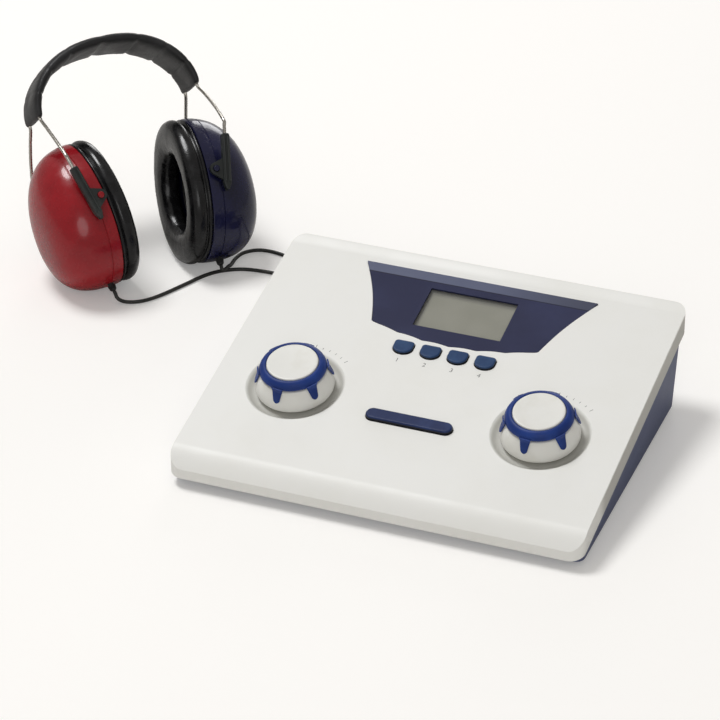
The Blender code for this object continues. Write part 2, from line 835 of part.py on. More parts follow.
screw_places = [
    (sx * (half_width - screw_inset_x), y)
    for y in (-half_depth + screw_inset_front, half_depth - screw_inset_rear)
    for sx in (-1, 1)
]
post_top = base_bottom + base_floor + post_height
counterbore = screw_head_height + 2 * gap
for i, (x, y) in enumerate(screw_places):
    post = rod(f"post_{i + 1}", post_radius, base_bottom + base_floor / 2, post_top, 10, cutters)
    join(base_tray, place(post, audiometer, (x, y, 0)))
    head_hole = rod(f"screw_head_hole_{i + 1}", screw_head_radius + gap, base_bottom - overrun,
                    base_bottom + counterbore, 12, cutters)
    shank_hole = rod(f"screw_hole_{i + 1}", screw_shank_radius + gap, base_bottom,
                     post_top + overrun, 8, cutters)
    cut(base_tray, place(head_hole, audiometer, (x, y, 0)),
        place(shank_hole, audiometer, (x, y, 0)))
    boss = rod(f"screw_boss_{i + 1}", boss_radius, post_top + gap,
               top_height(y) - cover_wall / 2 / math.cos(slope), 8, cutters)
    join(top_cover, place(boss, audiometer, (x, y, 0)))
    screw_top = base_bottom + screw_head_height + screw_length
    boss_hole = rod(f"screw_boss_hole_{i + 1}", screw_shank_radius + gap, post_top - overrun,
                    screw_top + gap, 8, cutters)
    cut(top_cover, place(boss_hole, audiometer, (x, y, 0)))
    head_top = base_bottom + screw_head_height
    screw = turned(f"case_screw_{i + 1}", [
        (0, screw_top), (screw_shank_radius, screw_top), (screw_shank_radius, head_top + gap),
        (screw_head_radius, head_top + gap), (screw_head_radius, base_bottom + gap),
        (0, base_bottom + gap),
    ], 10)
    place(screw, audiometer, (x, y, 0), look=steel)

for i, (sx, sy) in enumerate(((-1, -1), (1, -1), (-1, 1), (1, 1))):
    foot = turned(f"foot_{i + 1}", [
        (0, foot_height), (foot_radius, foot_height), (foot_radius, 0.3 * foot_height),
        (foot_radius - 0.3 * foot_height, 0), (0, 0),
    ], 12)
    y = base_front + foot_inset if sy < 0 else base_back - foot_inset
    x = sx * (base_half - base_draft - foot_inset)
    place(foot, audiometer, (x, y, 0), look=rubber)


# %% Sockets in the rear wall
socket_bores = {
    "right_phone": (right_socket_x, phone_bore_radius),
    "left_phone": (left_socket_x, phone_bore_radius),
    "response": (response_socket_x, small_bore_radius),
    "power": (power_socket_x, power_bore_radius),
}
for name, (x, bore_radius) in socket_bores.items():
    hole = rod(f"{name}_socket_hole", socket_barrel_radius + gap, -base_wall - overrun, overrun,
               14, cutters)
    spot = (x, base_back, socket_height)
    facing = (-90 * DEG, 0, 0)
    cut(base_tray, place(hole, audiometer, spot, facing))
    rim = socket_flange_plate + gap
    socket = turned(f"{name}_socket", [
        (0, -socket_barrel_length + 4 * gap), (bore_radius, -socket_barrel_length + 4 * gap),
        (bore_radius, rim), (socket_flange_radius - gap, rim),
        (socket_flange_radius, rim - gap), (socket_flange_radius, gap),
        (socket_barrel_radius, gap), (socket_barrel_radius, -socket_barrel_length),
        (0, -socket_barrel_length),
    ], 12)
    place(socket, audiometer, spot, facing, dark_part)


# %% Headset frame
headset = empty("headset", audiometer, (headset_x, headset_y, 0), (0, 0, headset_turn))
lean = empty("headset_lean", headset, (0, 0, 0), (-headset_lean, 0, 0))
cup_middle = cup_half_height
cup_stretch = cup_half_height / cup_half_width
pin_span = cup_half_width + guide_side_gap + guide_thickness / 2


def lean_point(side, along, local_z):
    """A point on the line of a side's guide bars, by its height above the pin along the bar."""
    sign = sides[side]
    up = Vector((sign * math.sin(guide_angle), 0, math.cos(guide_angle)))
    out = Vector((sign * math.cos(guide_angle), 0, -math.sin(guide_angle)))
    return pin_points[side] + out * guide_ear_reach + up * local_z + Vector((0, along, 0))


sides = {"right": -1, "left": 1}
pin_points = {}
for side, sign in sides.items():
    tilt = Matrix.Rotation(sign * cup_converge, 3, "Y")
    pin_points[side] = Vector((sign * cup_spacing, 0, cup_middle)) + tilt @ Vector(
        (sign * pin_depth, 0, pin_rise))
guide_top = guide_length - guide_below_pin
pad_middle_half_span = pad_outer_half_span - pad_thickness / 2
crown_middle = crown_height - pad_thickness / 2


def band_point(share):
    """A point of the band's middle line in X and Z, and its outward direction. Share runs from -1 to 1."""
    angle = share * math.pi / 2
    flat_share = 0.86
    x = pad_middle_half_span * math.copysign(abs(math.sin(angle)) ** flat_share, angle)
    rise = crown_middle - pad_end_height
    z = pad_end_height + rise * abs(math.cos(angle)) ** (2 - flat_share)
    return Vector((x, 0, z))


def band_frame(share):
    step = 0.02
    ahead, behind = band_point(min(1.0, share + step)), band_point(max(-1.0, share - step))
    along = (ahead - behind).normalized()
    out = Vector((-along.z, 0, along.x))
    return band_point(share), along, out


# %% Ear cups
looks = {"right": red_gloss, "left": blue_gloss}
dome_shares = [i / 6 for i in range(7)]
inner_shares = [i / 4 for i in range(5)]
dome_side_share = 0.72
dome_pole_share = 0.70


def dome(radius, depth, count_shares=dome_shares):
    """Outer line of a cup from its pole to its rim, fuller than an ellipse."""
    return [
        (radius * math.sin(share * math.pi / 2) ** dome_side_share,
         depth * math.cos(share * math.pi / 2) ** dome_pole_share)
        for share in count_shares
    ]


cup_frames = {}
for side, sign in sides.items():
    # A cup's own Z points outward from its rim, and its own X to the crown.
    turn = Matrix(((0, 0, sign), (0, -sign, 0), (1, 0, 0)))
    frame = empty(f"{side}_cup", lean)
    frame.rotation_euler = (
        Matrix.Rotation(sign * cup_converge, 3, "Y") @ turn).to_euler()
    frame.location = (sign * cup_spacing, 0, cup_middle)
    cup_frames[side] = frame
    outer = dome(cup_half_width, cup_depth)
    inner = dome(cup_half_width - cup_wall, cup_depth - cup_wall, inner_shares)
    shell = turned(f"{side}_cup_shell", outer + [(r, z) for r, z in reversed(inner)], 26)
    shell = stretched(shell, (cup_stretch, 1, 1))
    place(shell, frame, look=looks[side])
    for end in (-1, 1):
        pin = rod(f"{side}_pin_{'front' if end < 0 else 'rear'}", pin_radius, 0,
                  pin_length + 2 * cup_wall, 12, cutters)
        start = pin_span + guide_thickness / 2 + gap - pin_length - 2 * cup_wall
        place(pin, frame, (pin_rise, end * start, pin_depth),
              (-end * 90 * DEG, 0, 0))
        join(shell, pin)
    hole_radius = cup_half_width * cushion_hole_share
    bulge = (cup_half_width - hole_radius) / 2
    middle = cup_half_width - bulge
    seat = -gap
    cushion = turned(f"{side}_ear_cushion", [
        (middle + 0.62 * bulge, seat), (middle + 0.90 * bulge, seat - 0.10 * cushion_depth),
        (middle + 0.80 * bulge, seat - 0.24 * cushion_depth),
        (middle + 0.99 * bulge, seat - 0.42 * cushion_depth),
        (middle + 0.93 * bulge, seat - 0.72 * cushion_depth),
        (middle + 0.60 * bulge, seat - 0.94 * cushion_depth),
        (middle, seat - cushion_depth),
        (middle - 0.60 * bulge, seat - 0.93 * cushion_depth),
        (middle - 0.95 * bulge, seat - 0.65 * cushion_depth),
        (middle - 0.95 * bulge, seat - 0.30 * cushion_depth),
        (middle - 0.60 * bulge, seat),
    ], 24)
    place(stretched(cushion, (cup_stretch, 1, 1)), frame, look=leather)
    earphone = turned(f"{side}_earphone", [
        (0, cup_depth - cup_wall - gap * 4), (0.35 * earphone_radius,
                                              cup_depth - cup_wall - gap * 4),
        (0.45 * earphone_radius, earphone_depth), (earphone_radius, 0.8 * earphone_depth),
        (earphone_radius, 0.2 * earphone_depth), (0.8 * earphone_radius, 0),
        (0.35 * earphone_radius, 0.15 * earphone_depth), (0, 0.15 * earphone_depth),
    ], 16)
    place(earphone, frame, look=dark_part)


# %% Guides that slide on the wires and carry the cups on their pins
ear_tip_radius = 2.0 * pin_radius
for side, sign in sides.items():
    for end, y in (("front", -pin_span), ("rear", pin_span)):
        name = f"{side}_{end}_guide"
        bar_x = sign * guide_ear_reach
        bar = box(name, (guide_width, guide_thickness, guide_length),
                  (bar_x, 0, guide_top - guide_length / 2))
        bevel(bar, 0.24 * guide_thickness, 1)
        ear_root = 0.62 * guide_below_pin
        corners = arc((0, 0), ear_tip_radius, 0.62 * math.pi, 1.38 * math.pi, 6)
        outline = [(guide_ear_reach, ear_root)] + corners + [(guide_ear_reach, -ear_root)]
        ear = outline_prism(f"{name}_ear", [(sign * x, z) for x, z in outline],
                            -guide_ear_plate / 2, guide_ear_plate / 2, cutters)
        place(bar, lean, pin_points[side] + Vector((0, y, 0)), (0, sign * guide_angle, 0),
              guide_grey)
        join(bar, place(ear, bar, (0, 0, 0), (90 * DEG, 0, 0)))
        pin_hole = rod(f"{name}_pin_hole", pin_radius + gap, -guide_thickness, guide_thickness,
                       12, cutters)
        bore = rod(f"{name}_bore", wire_radius + gap, guide_top - guide_length - overrun,
                   guide_top + overrun, 8, cutters)
        cut(bar, place(pin_hole, bar, (0, 0, 0), (90 * DEG, 0, 0)),
            place(bore, bar, (bar_x, 0, 0)))


# %% Band wires
def wire_route(y_sign):
    """Up out of one guide, across to the pad, round its arc, and down into the other guide."""
    spread = y_sign * pin_span
    inner = y_sign * pad_wire_offset
    right_leg = [
        lean_point("right", spread, guide_top - guide_engaged),
        lean_point("right", spread, guide_top),
        lean_point("right", spread, guide_top + 0.5 * wire_straight),
        lean_point("right", spread, guide_top + wire_straight),
    ]
    below = band_point(-1.0)
    right_leg += [
        Vector((below.x, 2.0 * inner, below.z - wire_hang)),
        Vector((below.x, 1.3 * inner, below.z - 0.4 * wire_hang)),
    ]
    arc_count = 14
    over = [band_point(-1 + 2 * i / arc_count) + Vector((0, inner, 0))
            for i in range(arc_count + 1)]
    left_leg = [Vector((-p.x, p.y, p.z)) for p in reversed(right_leg)]
    return right_leg + over + left_leg


wire_step = 7.0 * MM
for end, y_sign in (("front", -1), ("rear", 1)):
    wire = tube(f"{end}_band_wire", smooth_route(wire_route(y_sign), wire_step), wire_radius,
                resolution=1)
    place(wire, lean, look=steel)


# %% Headband pad
def pad_ring(share, end_share=0.0, seam=0.0):
    centre, along, out = band_frame(share)
    side_count = 10
    scale = 1 - 0.10 * end_share
    centre = centre + along * math.copysign(end_share * 0.3 * pad_thickness, share)
    ring = []
    for i in range(side_count):
        angle = 2 * math.pi * (i + 0.5) / side_count
        wide, high = math.cos(angle), math.sin(angle)
        half = pad_half_width + (pad_end_half_width - pad_half_width) * abs(share) ** 2
        thick = pad_thickness + (pad_end_thickness - pad_thickness) * abs(share) ** 2
        y = half * scale * math.copysign(abs(wide) ** 0.5, wide) * (1 - 0.025 * seam)
        n = thick / 2 * scale * math.copysign(abs(high) ** 0.8, high)
        n *= 1 - 0.20 * seam if high > 0 else 1 + 0.16 * seam
        ring.append(centre + Vector((0, y, 0)) + out * n)
    return ring


stations = [(-1.0, 1.0, 0.0)]
for i in range(pad_segment_count):
    start, width = -1 + 2 * i / pad_segment_count, 2 / pad_segment_count
    stations.append((start, 0.0, 0.4 if i == 0 else 1.0))
    stations += [(start + width * part_share, 0.0, 0.0) for part_share in (0.2, 0.8)]
stations += [(1.0, 0.0, 0.4), (1.0, 1.0, 0.0)]
shape = bmesh.new()
rings = [[shape.verts.new(point) for point in pad_ring(*station)] for station in stations]
for before, after in zip(rings, rings[1:]):
    for i in range(len(before)):
        j = (i + 1) % len(before)
        shape.faces.new((before[i], before[j], after[j], after[i]))
shape.faces.new(rings[0])
shape.faces.new(list(reversed(rings[-1])))
headband_pad = place(from_bmesh("headband_pad", shape), lean, look=leather)
for end, y_sign in (("front", -1), ("rear", 1)):
    channel = settled(tube(f"{end}_wire_channel", smooth_route(wire_route(y_sign), wire_step),
                           wire_radius + 1.4 * gap, cutters, 0))
    channel.hide_render = True
    channel.display_type = "WIRE"
    cut(headband_pad, place(channel, lean))


# %% Cord glands at the bottom of the cups
def dome_radius_at(depth):
    share = math.acos(min(1.0, depth / cup_depth) ** (1 / dome_pole_share)) / (math.pi / 2)
    return cup_half_width * math.sin(share * math.pi / 2) ** dome_side_share


gland_neck = 0.7 * gland_radius
gland_seat = dome_radius_at(gland_depth) * cup_stretch
gland_clear = 2 * gap
for side, frame in cup_frames.items():
    shell = bpy.data.objects[f"{side}_cup_shell"]
    sign = sides[side]
    along = math.atan(math.tan(gland_turn) / cup_stretch)
    spot = (-gland_seat * math.cos(along), sign * gland_seat / cup_stretch * math.sin(along),
            gland_depth)
    facing = (0, -90 * DEG, -sign * gland_turn)
    hole = rod(f"{side}_gland_hole", gland_neck + gap, -3 * cup_wall, overrun, 12, cutters)
    cut(shell, place(hole, frame, spot, facing))
    gland = turned(f"{side}_cord_gland", [
        (0, gland_length), (0.78 * gland_radius, gland_length),
        (gland_radius, 0.45 * gland_length), (gland_radius, gland_clear),
        (gland_neck, gland_clear), (gland_neck, -cup_wall - 2 * gap), (0, -cup_wall - 2 * gap),
    ], 12)
    place(gland, frame, spot, facing, dark_part)


# %% The cups stand on the floor
def evaluated_points(obj):
    graph = bpy.context.evaluated_depsgraph_get()
    mesh = obj.evaluated_get(graph).to_mesh()
    return [obj.matrix_world @ vert.co for vert in mesh.vertices]


bpy.context.view_layer.update()
standing = [bpy.data.objects[f"{side}_{piece}"] for side in sides
            for piece in ("cup_shell", "ear_cushion", "cord_gland")]
headset.location.z -= min(point.z for obj in standing for point in evaluated_points(obj))
bpy.context.view_layer.update()


# %% Cords
def coil_route(centre, start_angle, direction):
    """One unbroken route that spirals in and out in layers, with a climb at each reversal."""
    turn_count = coil_turns_per_layer * coil_layers
    points = []
    for i in range(turn_count * coil_points_per_turn + 1):
        turn = i / coil_points_per_turn
        along = turn / coil_turns_per_layer
        layer = int(along)
        share = along - layer
        if layer == coil_layers:
            layer, share = coil_layers - 1, 1.0
        inward = layer % 2 == 0
        step_out = coil_turns_per_layer * coil_pitch * (1 - share if inward else share)
        height = layer
        for reversal in range(1, coil_layers):
            away = turn - reversal * coil_turns_per_layer
            if abs(away) < 0.25:
                smooth = 0.5 + 2 * away
                height = reversal - 1 + smooth * smooth * (3 - 2 * smooth)
        angle = start_angle + direction * 2 * math.pi * turn
        radius = coil_inner_radius + step_out
        points.append(Vector((
            centre[0] + radius * math.cos(angle), centre[1] + radius * math.sin(angle),
            cord_rest + height * coil_pitch)))
    lead = 2 * cord_radius
    before = (points[0] - points[1]).normalized()
    after = (points[-1] - points[-2]).normalized()
    before.z = after.z = 0
    return [points[0] + before.normalized() * lead] + points + [
        points[-1] + after.normalized() * lead]


def least_gap(points, apart):
    """Least space between stretches of a route that lie some points apart along it."""
    least = 1.0
    for i, a in enumerate(points):
        for b in points[i + apart:]:
            least = min(least, (a - b).length)
    return least - 2 * cord_radius


cord_rest = cord_radius + 0.1 * MM
plug_face = base_back + gap + socket_flange_plate + gap
plug_end = plug_face + 2 * gap + plug_body_length + plug_relief_length
cord_plans = {
    "right": {
        "socket": right_socket_x, "centre": (-112, 134),
        "run": [(-250.0, 84.4, 4.2), (-245.4, 86.6, 1.6), (-236.7, 91.3), (-228.6, 102.0),
                (-219.4, 121.3), (-211.9, 137.6), (-203.6, 147.9), (-190.4, 155.4),
                (-171.2, 157.5), (-150.0, 155.5), (-130.0, 152.6)],
        "tail": [(-93, 153, 13), (-83, 147, 17), (-81, 135, 23)],
    },
    "left": {
        "socket": left_socket_x, "centre": (-60, 151),
        "run": [(-199.8, 142.0, 5.4), (-199.2, 150.2, 4.9), (-200.6, 156.5, 2.2), (-201.8, 167.0),
                (-200.0, 176.0), (-193.5, 182.5), (-184.1, 184.5), (-170.0, 182.0),
                (-140.0, 175.5), (-105.0, 171.0), (-78.0, 169.4)],
        "tail": [(-44, 168, 14), (-35, 156, 17), (-38, 141, 22), (-50, 132, 26)],
    },
}
cord_step = 5.0 * MM
for side, plan in cord_plans.items():
    gland = bpy.data.objects[f"{side}_cord_gland"]
    leave = gland.matrix_world @ Vector((0, 0, gland_length + 2.4 * gap))
    heading = (gland.matrix_world.to_3x3() @ Vector((0, 0, 1))).normalized()
    coil = coil_route([value * MM for value in plan["centre"]], 90 * DEG, -1)
    coil_in = (coil[1] - coil[0]).normalized()
    meet = coil[0] - coil_in * gap
    route = [leave, leave + heading * 2 * cord_radius]
    route += [Vector((x * MM, y * MM, height[0] * MM if height else cord_rest))
              for x, y, *height in plan["run"]]
    route += [meet - coil_in * cord_lead, meet]
    run = tube(f"{side}_cord_run", smooth_route(route, cord_step), cord_radius)
    place(run, audiometer, look=cord_grey)
    wound = tube(f"{side}_cord_coil", coil, cord_radius, resolution=1)
    place(wound, audiometer, look=cord_grey)
    spare = least_gap(coil, coil_points_per_turn // 2)
    print(f"{side} coil: least gap to itself {spare / MM:.2f} mm")
    coil_out = (coil[-1] - coil[-2]).normalized()
    start = coil[-1] + coil_out * gap
    plug_at = Vector((plan["socket"], plug_end + gap, socket_height))
    tail_route = [start, start + coil_out * cord_lead]
    tail_route += [Vector(point) * MM for point in plan["tail"]]
    tail_route += [plug_at + Vector((0, cord_lead, 0)), plug_at]
    tail = tube(f"{side}_cord_tail", smooth_route(tail_route, cord_step), cord_radius)
    place(tail, audiometer, look=cord_grey)
    plug = turned(f"{side}_cord_plug", [
        (0, plug_relief_length + plug_body_length),
        (1.5 * cord_radius, plug_relief_length + plug_body_length),
        (2.0 * cord_radius, plug_body_length + 0.2 * plug_relief_length),
        (0.86 * plug_body_radius, plug_body_length), (plug_body_radius, 0.8 * plug_body_length),
        (plug_body_radius, 0), (plug_sleeve_radius, 0),
        (plug_sleeve_radius, -plug_sleeve_length),
        (0.4 * plug_sleeve_radius, -plug_sleeve_length - plug_sleeve_radius / 2),
        (0, -plug_sleeve_length - plug_sleeve_radius / 2),
    ], 12)
    place(plug, audiometer, (plan["socket"], plug_face + 2 * gap, socket_height),
          (-90 * DEG, 0, 0), dark_part)


# %% The whole stands with the middle of its box's underside at the world's origin
cord_pieces = [f"{side}_cord_{piece}" for side in sides
               for piece in ("run", "coil", "tail", "plug")]
bpy.context.view_layer.update()
corners = [point for obj in parts.objects
           if obj.type in ("MESH", "CURVE") and obj.name not in cord_pieces
           for point in evaluated_points(obj)]
low = Vector([min(point[k] for point in corners) for k in range(3)])
high = Vector([max(point[k] for point in corners) for k in range(3)])
audiometer.location = (-(low.x + high.x) / 2, -(low.y + high.y) / 2, -low.z)
bpy.context.view_layer.update()
print("shift in mm:", [round(value / MM, 3) for value in audiometer.location])
for name in ("level_dial", "frequency_dial", "sloped_face"):
    spot = bpy.data.objects[name].matrix_world
    print(name, [round(v, 6) for v in spot.translation],
          "axis", [round(v, 6) for v in spot.to_3x3() @ Vector((0, 0, 1))])
for side in sides:
    for end in ("front", "rear"):
        spot = bpy.data.objects[f"{side}_{end}_guide"].matrix_world
        print(f"{side} {end} pin", [round(v, 6) for v in spot.translation],
              "bar", [round(v, 6) for v in spot.to_3x3() @ Vector((0, 0, 1))],
              "pin axis", [round(v, 6) for v in spot.to_3x3() @ Vector((0, 1, 0))])
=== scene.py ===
# %% [markdown]
# # A screening audiometer
# An audiometer tests hearing: it plays tones of a set loudness and pitch, and the person tested wears the
# headset. This one is a wedge-shaped console with a display, four keys, a wide bar that plays the tone and
# two big dials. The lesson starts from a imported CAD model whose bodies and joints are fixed. Each cell adds
# the skin that makes one piece look real, in the same place and at the same size, and lets it ride on its
# CAD body.

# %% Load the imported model
import json
import math

import bmesh
import bpy
from mathutils import Matrix, Vector, noise

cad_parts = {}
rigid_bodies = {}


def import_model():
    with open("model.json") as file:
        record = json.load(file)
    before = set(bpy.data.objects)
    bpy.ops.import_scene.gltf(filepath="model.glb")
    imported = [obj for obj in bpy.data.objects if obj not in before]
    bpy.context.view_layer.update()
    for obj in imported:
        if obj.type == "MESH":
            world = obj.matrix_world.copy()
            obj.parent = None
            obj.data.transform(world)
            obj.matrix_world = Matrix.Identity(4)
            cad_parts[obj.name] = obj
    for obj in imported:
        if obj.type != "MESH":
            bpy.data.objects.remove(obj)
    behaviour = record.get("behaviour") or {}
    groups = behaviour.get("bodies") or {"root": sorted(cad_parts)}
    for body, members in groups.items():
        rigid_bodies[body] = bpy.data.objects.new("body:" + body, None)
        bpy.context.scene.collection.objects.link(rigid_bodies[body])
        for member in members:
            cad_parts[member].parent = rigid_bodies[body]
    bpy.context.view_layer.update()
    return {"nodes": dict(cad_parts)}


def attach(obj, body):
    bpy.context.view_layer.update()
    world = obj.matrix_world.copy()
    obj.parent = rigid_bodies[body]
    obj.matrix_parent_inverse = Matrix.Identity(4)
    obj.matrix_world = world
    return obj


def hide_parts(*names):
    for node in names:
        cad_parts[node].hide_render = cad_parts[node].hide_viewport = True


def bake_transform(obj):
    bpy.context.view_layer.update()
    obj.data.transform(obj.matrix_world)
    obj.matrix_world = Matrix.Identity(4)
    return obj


MM = 0.001
DEG = math.pi / 180


def mm(*lengths):
    return [length * MM for length in lengths]


def profile(*points):
    """Points in millimetres, given in metres."""
    return [mm(*point) for point in points]


def placed(name, data):
    """An object at the origin that shows the data."""
    made = bpy.data.objects.new(name, data)
    bpy.context.scene.collection.objects.link(made)
    return made


for leftover in list(bpy.data.objects):
    bpy.data.objects.remove(leftover, do_unlink=True)
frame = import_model()

# %% [markdown]
# The camera comes first, because every later choice is judged through it. The catalogue picture looks down
# on the console from its front left with a long lens, so that parallel edges stay nearly parallel. The
# camera's place and turn were solved from the console's corners, and are written here as plain angles.

# %% Set the camera
bpy.context.scene.view_settings.view_transform = "Standard"
MIDDLE = Vector((105.925, -60.998, 0)) * MM     # the middle of the console's footprint

yaw, pitch, roll = 21.62 * DEG, 30.63 * DEG, -0.24 * DEG
lens = bpy.data.cameras.new("catalogue_camera")
lens.lens, lens.sensor_width = 163.3, 36
lens.clip_start, lens.clip_end = 0.05, 20
camera = placed("catalogue_camera", lens)
camera.matrix_world = (
    Matrix.Translation(MIDDLE + Vector((582.8, -1587.1, 1058.5)) * MM) @ Matrix.Rotation(yaw, 4, "Z")
    @ Matrix.Rotation(90 * DEG - pitch, 4, "X") @ Matrix.Rotation(roll, 4, "Z"))
bpy.context.scene.camera = camera
print("Camera:", round(lens.lens), "mm lens, looking down by", round(pitch / DEG), "degrees")

# %% [markdown]
# Most pieces are drawn in the frame of the thing that carries them, where their sizes are plain numbers:
# the sloped face, the leaning headset, or one ear cup. A matrix for each frame then puts the finished mesh
# in the world, and the object itself stays at the origin.

# %% Frames that the pieces are drawn in
front_height, rear_height, console_depth = mm(20, 67, 206)
slope = math.atan2(rear_height - front_height, console_depth)
FACE = (Matrix.Translation(MIDDLE + Vector((0, -console_depth / 2, front_height)))
        @ Matrix.Rotation(slope, 4, "X"))
HEADSET = (Matrix.Translation(MIDDLE + Vector((-233.8, 120.4, 6.784)) * MM)
           @ Matrix.Rotation(48 * DEG, 4, "Z") @ Matrix.Rotation(-39 * DEG, 4, "X"))
sides = {"right": -1, "left": 1}
cup_half_height, cup_half_width, cup_depth, cup_spacing = mm(49.5, 38.5, 39, 36)
cup_stretch, cup_converge = cup_half_height / cup_half_width, 6 * DEG
CUP = {}
for side, sign in sides.items():
    outward = Matrix(((0, 0, sign), (0, -sign, 0), (1, 0, 0))).to_4x4()
    CUP[side] = (HEADSET @ Matrix.Translation((sign * cup_spacing, 0, cup_half_height))
                 @ Matrix.Rotation(sign * cup_converge, 4, "Y") @ outward)
print("The face slopes at", round(slope / DEG, 1), "degrees")


# %% [markdown]
# A material here is written as sums. Signal wraps one socket of a material's node tree, and adding or
# multiplying two signals adds the Math node that does it, so a mask reads like a formula. Every other node
# comes from one method that takes its type, its settings and its sockets.

# %% Shader maths in plain Python
class Signal:
    """A socket of a material's tree that takes part in Python expressions."""

    def __init__(self, socket):
        self.socket = socket

    def math(self, operation, *others):
        inputs = dict(enumerate((self, *others)))
        return add_node(self.socket.id_data, "ShaderNodeMath", {"operation": operation}, inputs)[0]

    def __add__(self, other):
        return self.math("ADD", other)

    def __mul__(self, other):
        return self.math("MULTIPLY", other)

    def __sub__(self, other):
        return self.math("SUBTRACT", other)

    def step(self, low, high):
        """0 below low, 1 above high, and a smooth rise between them."""
        return add_node(self.socket.id_data, "ShaderNodeMapRange", {"interpolation_type": "SMOOTHSTEP"},
                        {"Value": self, "From Min": low, "From Max": high})[0]

    def larger(self, other):
        return self.math("MAXIMUM", other)

    def size(self):
        return self.math("ABSOLUTE")


def fill(tree, sockets, values):
    """Links each signal to its socket, and sets every other value on it."""
    for name, value in values.items():
        if isinstance(value, Signal):
            tree.links.new(value.socket, sockets[name])
        else:
            sockets[name].default_value = value


def add_node(tree, kind, settings=None, inputs=None):
    """A node of that type with its settings and its sockets; it returns its outputs as signals."""
    node = tree.nodes.new(kind)
    for name, value in (settings or {}).items():
        setattr(node, name, value)
    fill(tree, node.inputs, inputs or {})
    return [Signal(output) for output in node.outputs]


def linear(*colour):
    """An sRGB colour from 0 to 255 as the linear colour that a shader works with."""
    return (*[c / 3294.6 if c <= 10 else ((c / 255 + 0.055) / 1.055) ** 2.4 for c in colour], 1.0)


class Finish:
    """A material under construction: its tree, its Principled shader and a few patterns."""

    def __init__(self, name, colour, roughness, **values):
        self.material = bpy.data.materials.new(name)
        self.material.use_nodes = True
        self.tree = self.material.node_tree
        self.shader = self.tree.nodes["Principled BSDF"]
        self.set({"Base Color": linear(*colour), "Roughness": roughness, **values})
        self.place = self.node("ShaderNodeTexCoord")[3]

    def node(self, kind, settings=None, **inputs):
        return add_node(self.tree, kind, settings, inputs)

    def set(self, values):
        fill(self.tree, self.shader.inputs, values)

    def noise(self, scale, detail=2.0, roughness=0.5):
        """Fine cloudy noise from 0 to 1, with that many cells to the metre."""
        return self.node("ShaderNodeTexNoise", {"noise_dimensions": "3D"}, Vector=self.place, Scale=scale,
                         Detail=detail, Roughness=roughness)[0]

    def cells(self, scale, feature="F1"):
        return self.node("ShaderNodeTexVoronoi", {"feature": feature}, Vector=self.place, Scale=scale)[0]

    def tint(self, share, *colours):
        """The first colour where the share is 0, and the second where it is 1."""
        one, other = [colour if isinstance(colour, Signal) else linear(*colour) for colour in colours]
        return add_node(self.tree, "ShaderNodeMix", {"data_type": "RGBA"}, {0: share, 6: one, 7: other})[2]

    def bump(self, height, distance, strength):
        sockets = {"Height": height, "Distance": distance, "Strength": strength}
        self.set({"Normal": self.node("ShaderNodeBump", **sockets)[0]})


def plain_look(name, colour, shades, cloud, grain, rough, bump=None, **values):
    """A finish whose colour drifts between two shades, and whose grain varies its roughness and its bump.

    The cloud is a noise's scale and detail, the range that it rises over, and how much of it shows. The
    grain is a noise's scale and detail, and rough is how much of it is added to which roughness.
    """
    look = Finish(name, colour, 0.5, **values)
    scale, detail, low, high, share = cloud
    grain = look.noise(*grain)
    look.set({"Base Color": look.tint(look.noise(scale, detail).step(low, high) * share, *shades),
              "Roughness": grain * rough[0] + rough[1]})
    if bump:
        look.bump(grain, bump[0] * MM, bump[1])
    return look


print("Shader helpers are ready")

# %% [markdown]
# A few small helpers make nearly every piece. A turned profile is spun round its axis, a flat outline is
# extruded, rings of equal size are bridged into a loft and a tube follows a curve. finish gives an object
# its material, smooth faces with sharp edges where the angle asks for them, and a CAD body to ride on.

# %% Helpers for shapes
def moved(shape, matrix):
    bmesh.ops.transform(shape, matrix=matrix, verts=shape.verts)
    return shape


def joined(shape, *others):
    """The shape with the other shapes' faces added to it."""
    for other in others:
        part = bpy.data.meshes.new("part")
        other.to_mesh(part)
        other.free()
        shape.from_mesh(part)
    return shape


def cleaned(shape, merge=0.001 * MM):
    """The shape with its doubled points merged, its holes filled and its faces turned outward."""
    bmesh.ops.remove_doubles(shape, verts=shape.verts, dist=merge)
    bmesh.ops.holes_fill(shape, edges=[edge for edge in shape.edges if edge.is_boundary], sides=0)
    bmesh.ops.recalc_face_normals(shape, faces=shape.faces)
    return shape


def turned(line, steps=96):
    """A line of (radius, height) from top to bottom, spun round Z into a closed shape."""
    shape = bmesh.new()
    points = [shape.verts.new((radius, 0, height)) for radius, height in line]
    edges = [shape.edges.new(pair) for pair in zip(points, points[1:])]
    if line[0][0] > 0:
        edges.append(shape.edges.new((points[-1], points[0])))
    bmesh.ops.spin(shape, geom=points + edges, cent=(0, 0, 0), axis=(0, 0, 1), angle=2 * math.pi,
                   steps=steps, use_merge=True)
    return cleaned(shape)


def extruded(outline, bottom, top):
    """A flat outline of (x, y) points, raised into a plate."""
    shape = bmesh.new()
    floor = shape.faces.new([shape.verts.new((x, y, bottom)) for x, y in outline])
    raised = bmesh.ops.extrude_face_region(shape, geom=[floor])["geom"]
    bmesh.ops.translate(shape, vec=(0, 0, top - bottom),
                        verts=[part for part in raised if isinstance(part, bmesh.types.BMVert)])
    bmesh.ops.recalc_face_normals(shape, faces=shape.faces)
    return shape


def block(size, centre=(0, 0, 0)):
    shape = bmesh.new()
    bmesh.ops.create_cube(shape, size=1.0)
    bmesh.ops.scale(shape, vec=size, verts=shape.verts)
    bmesh.ops.translate(shape, vec=centre, verts=shape.verts)
    return shape


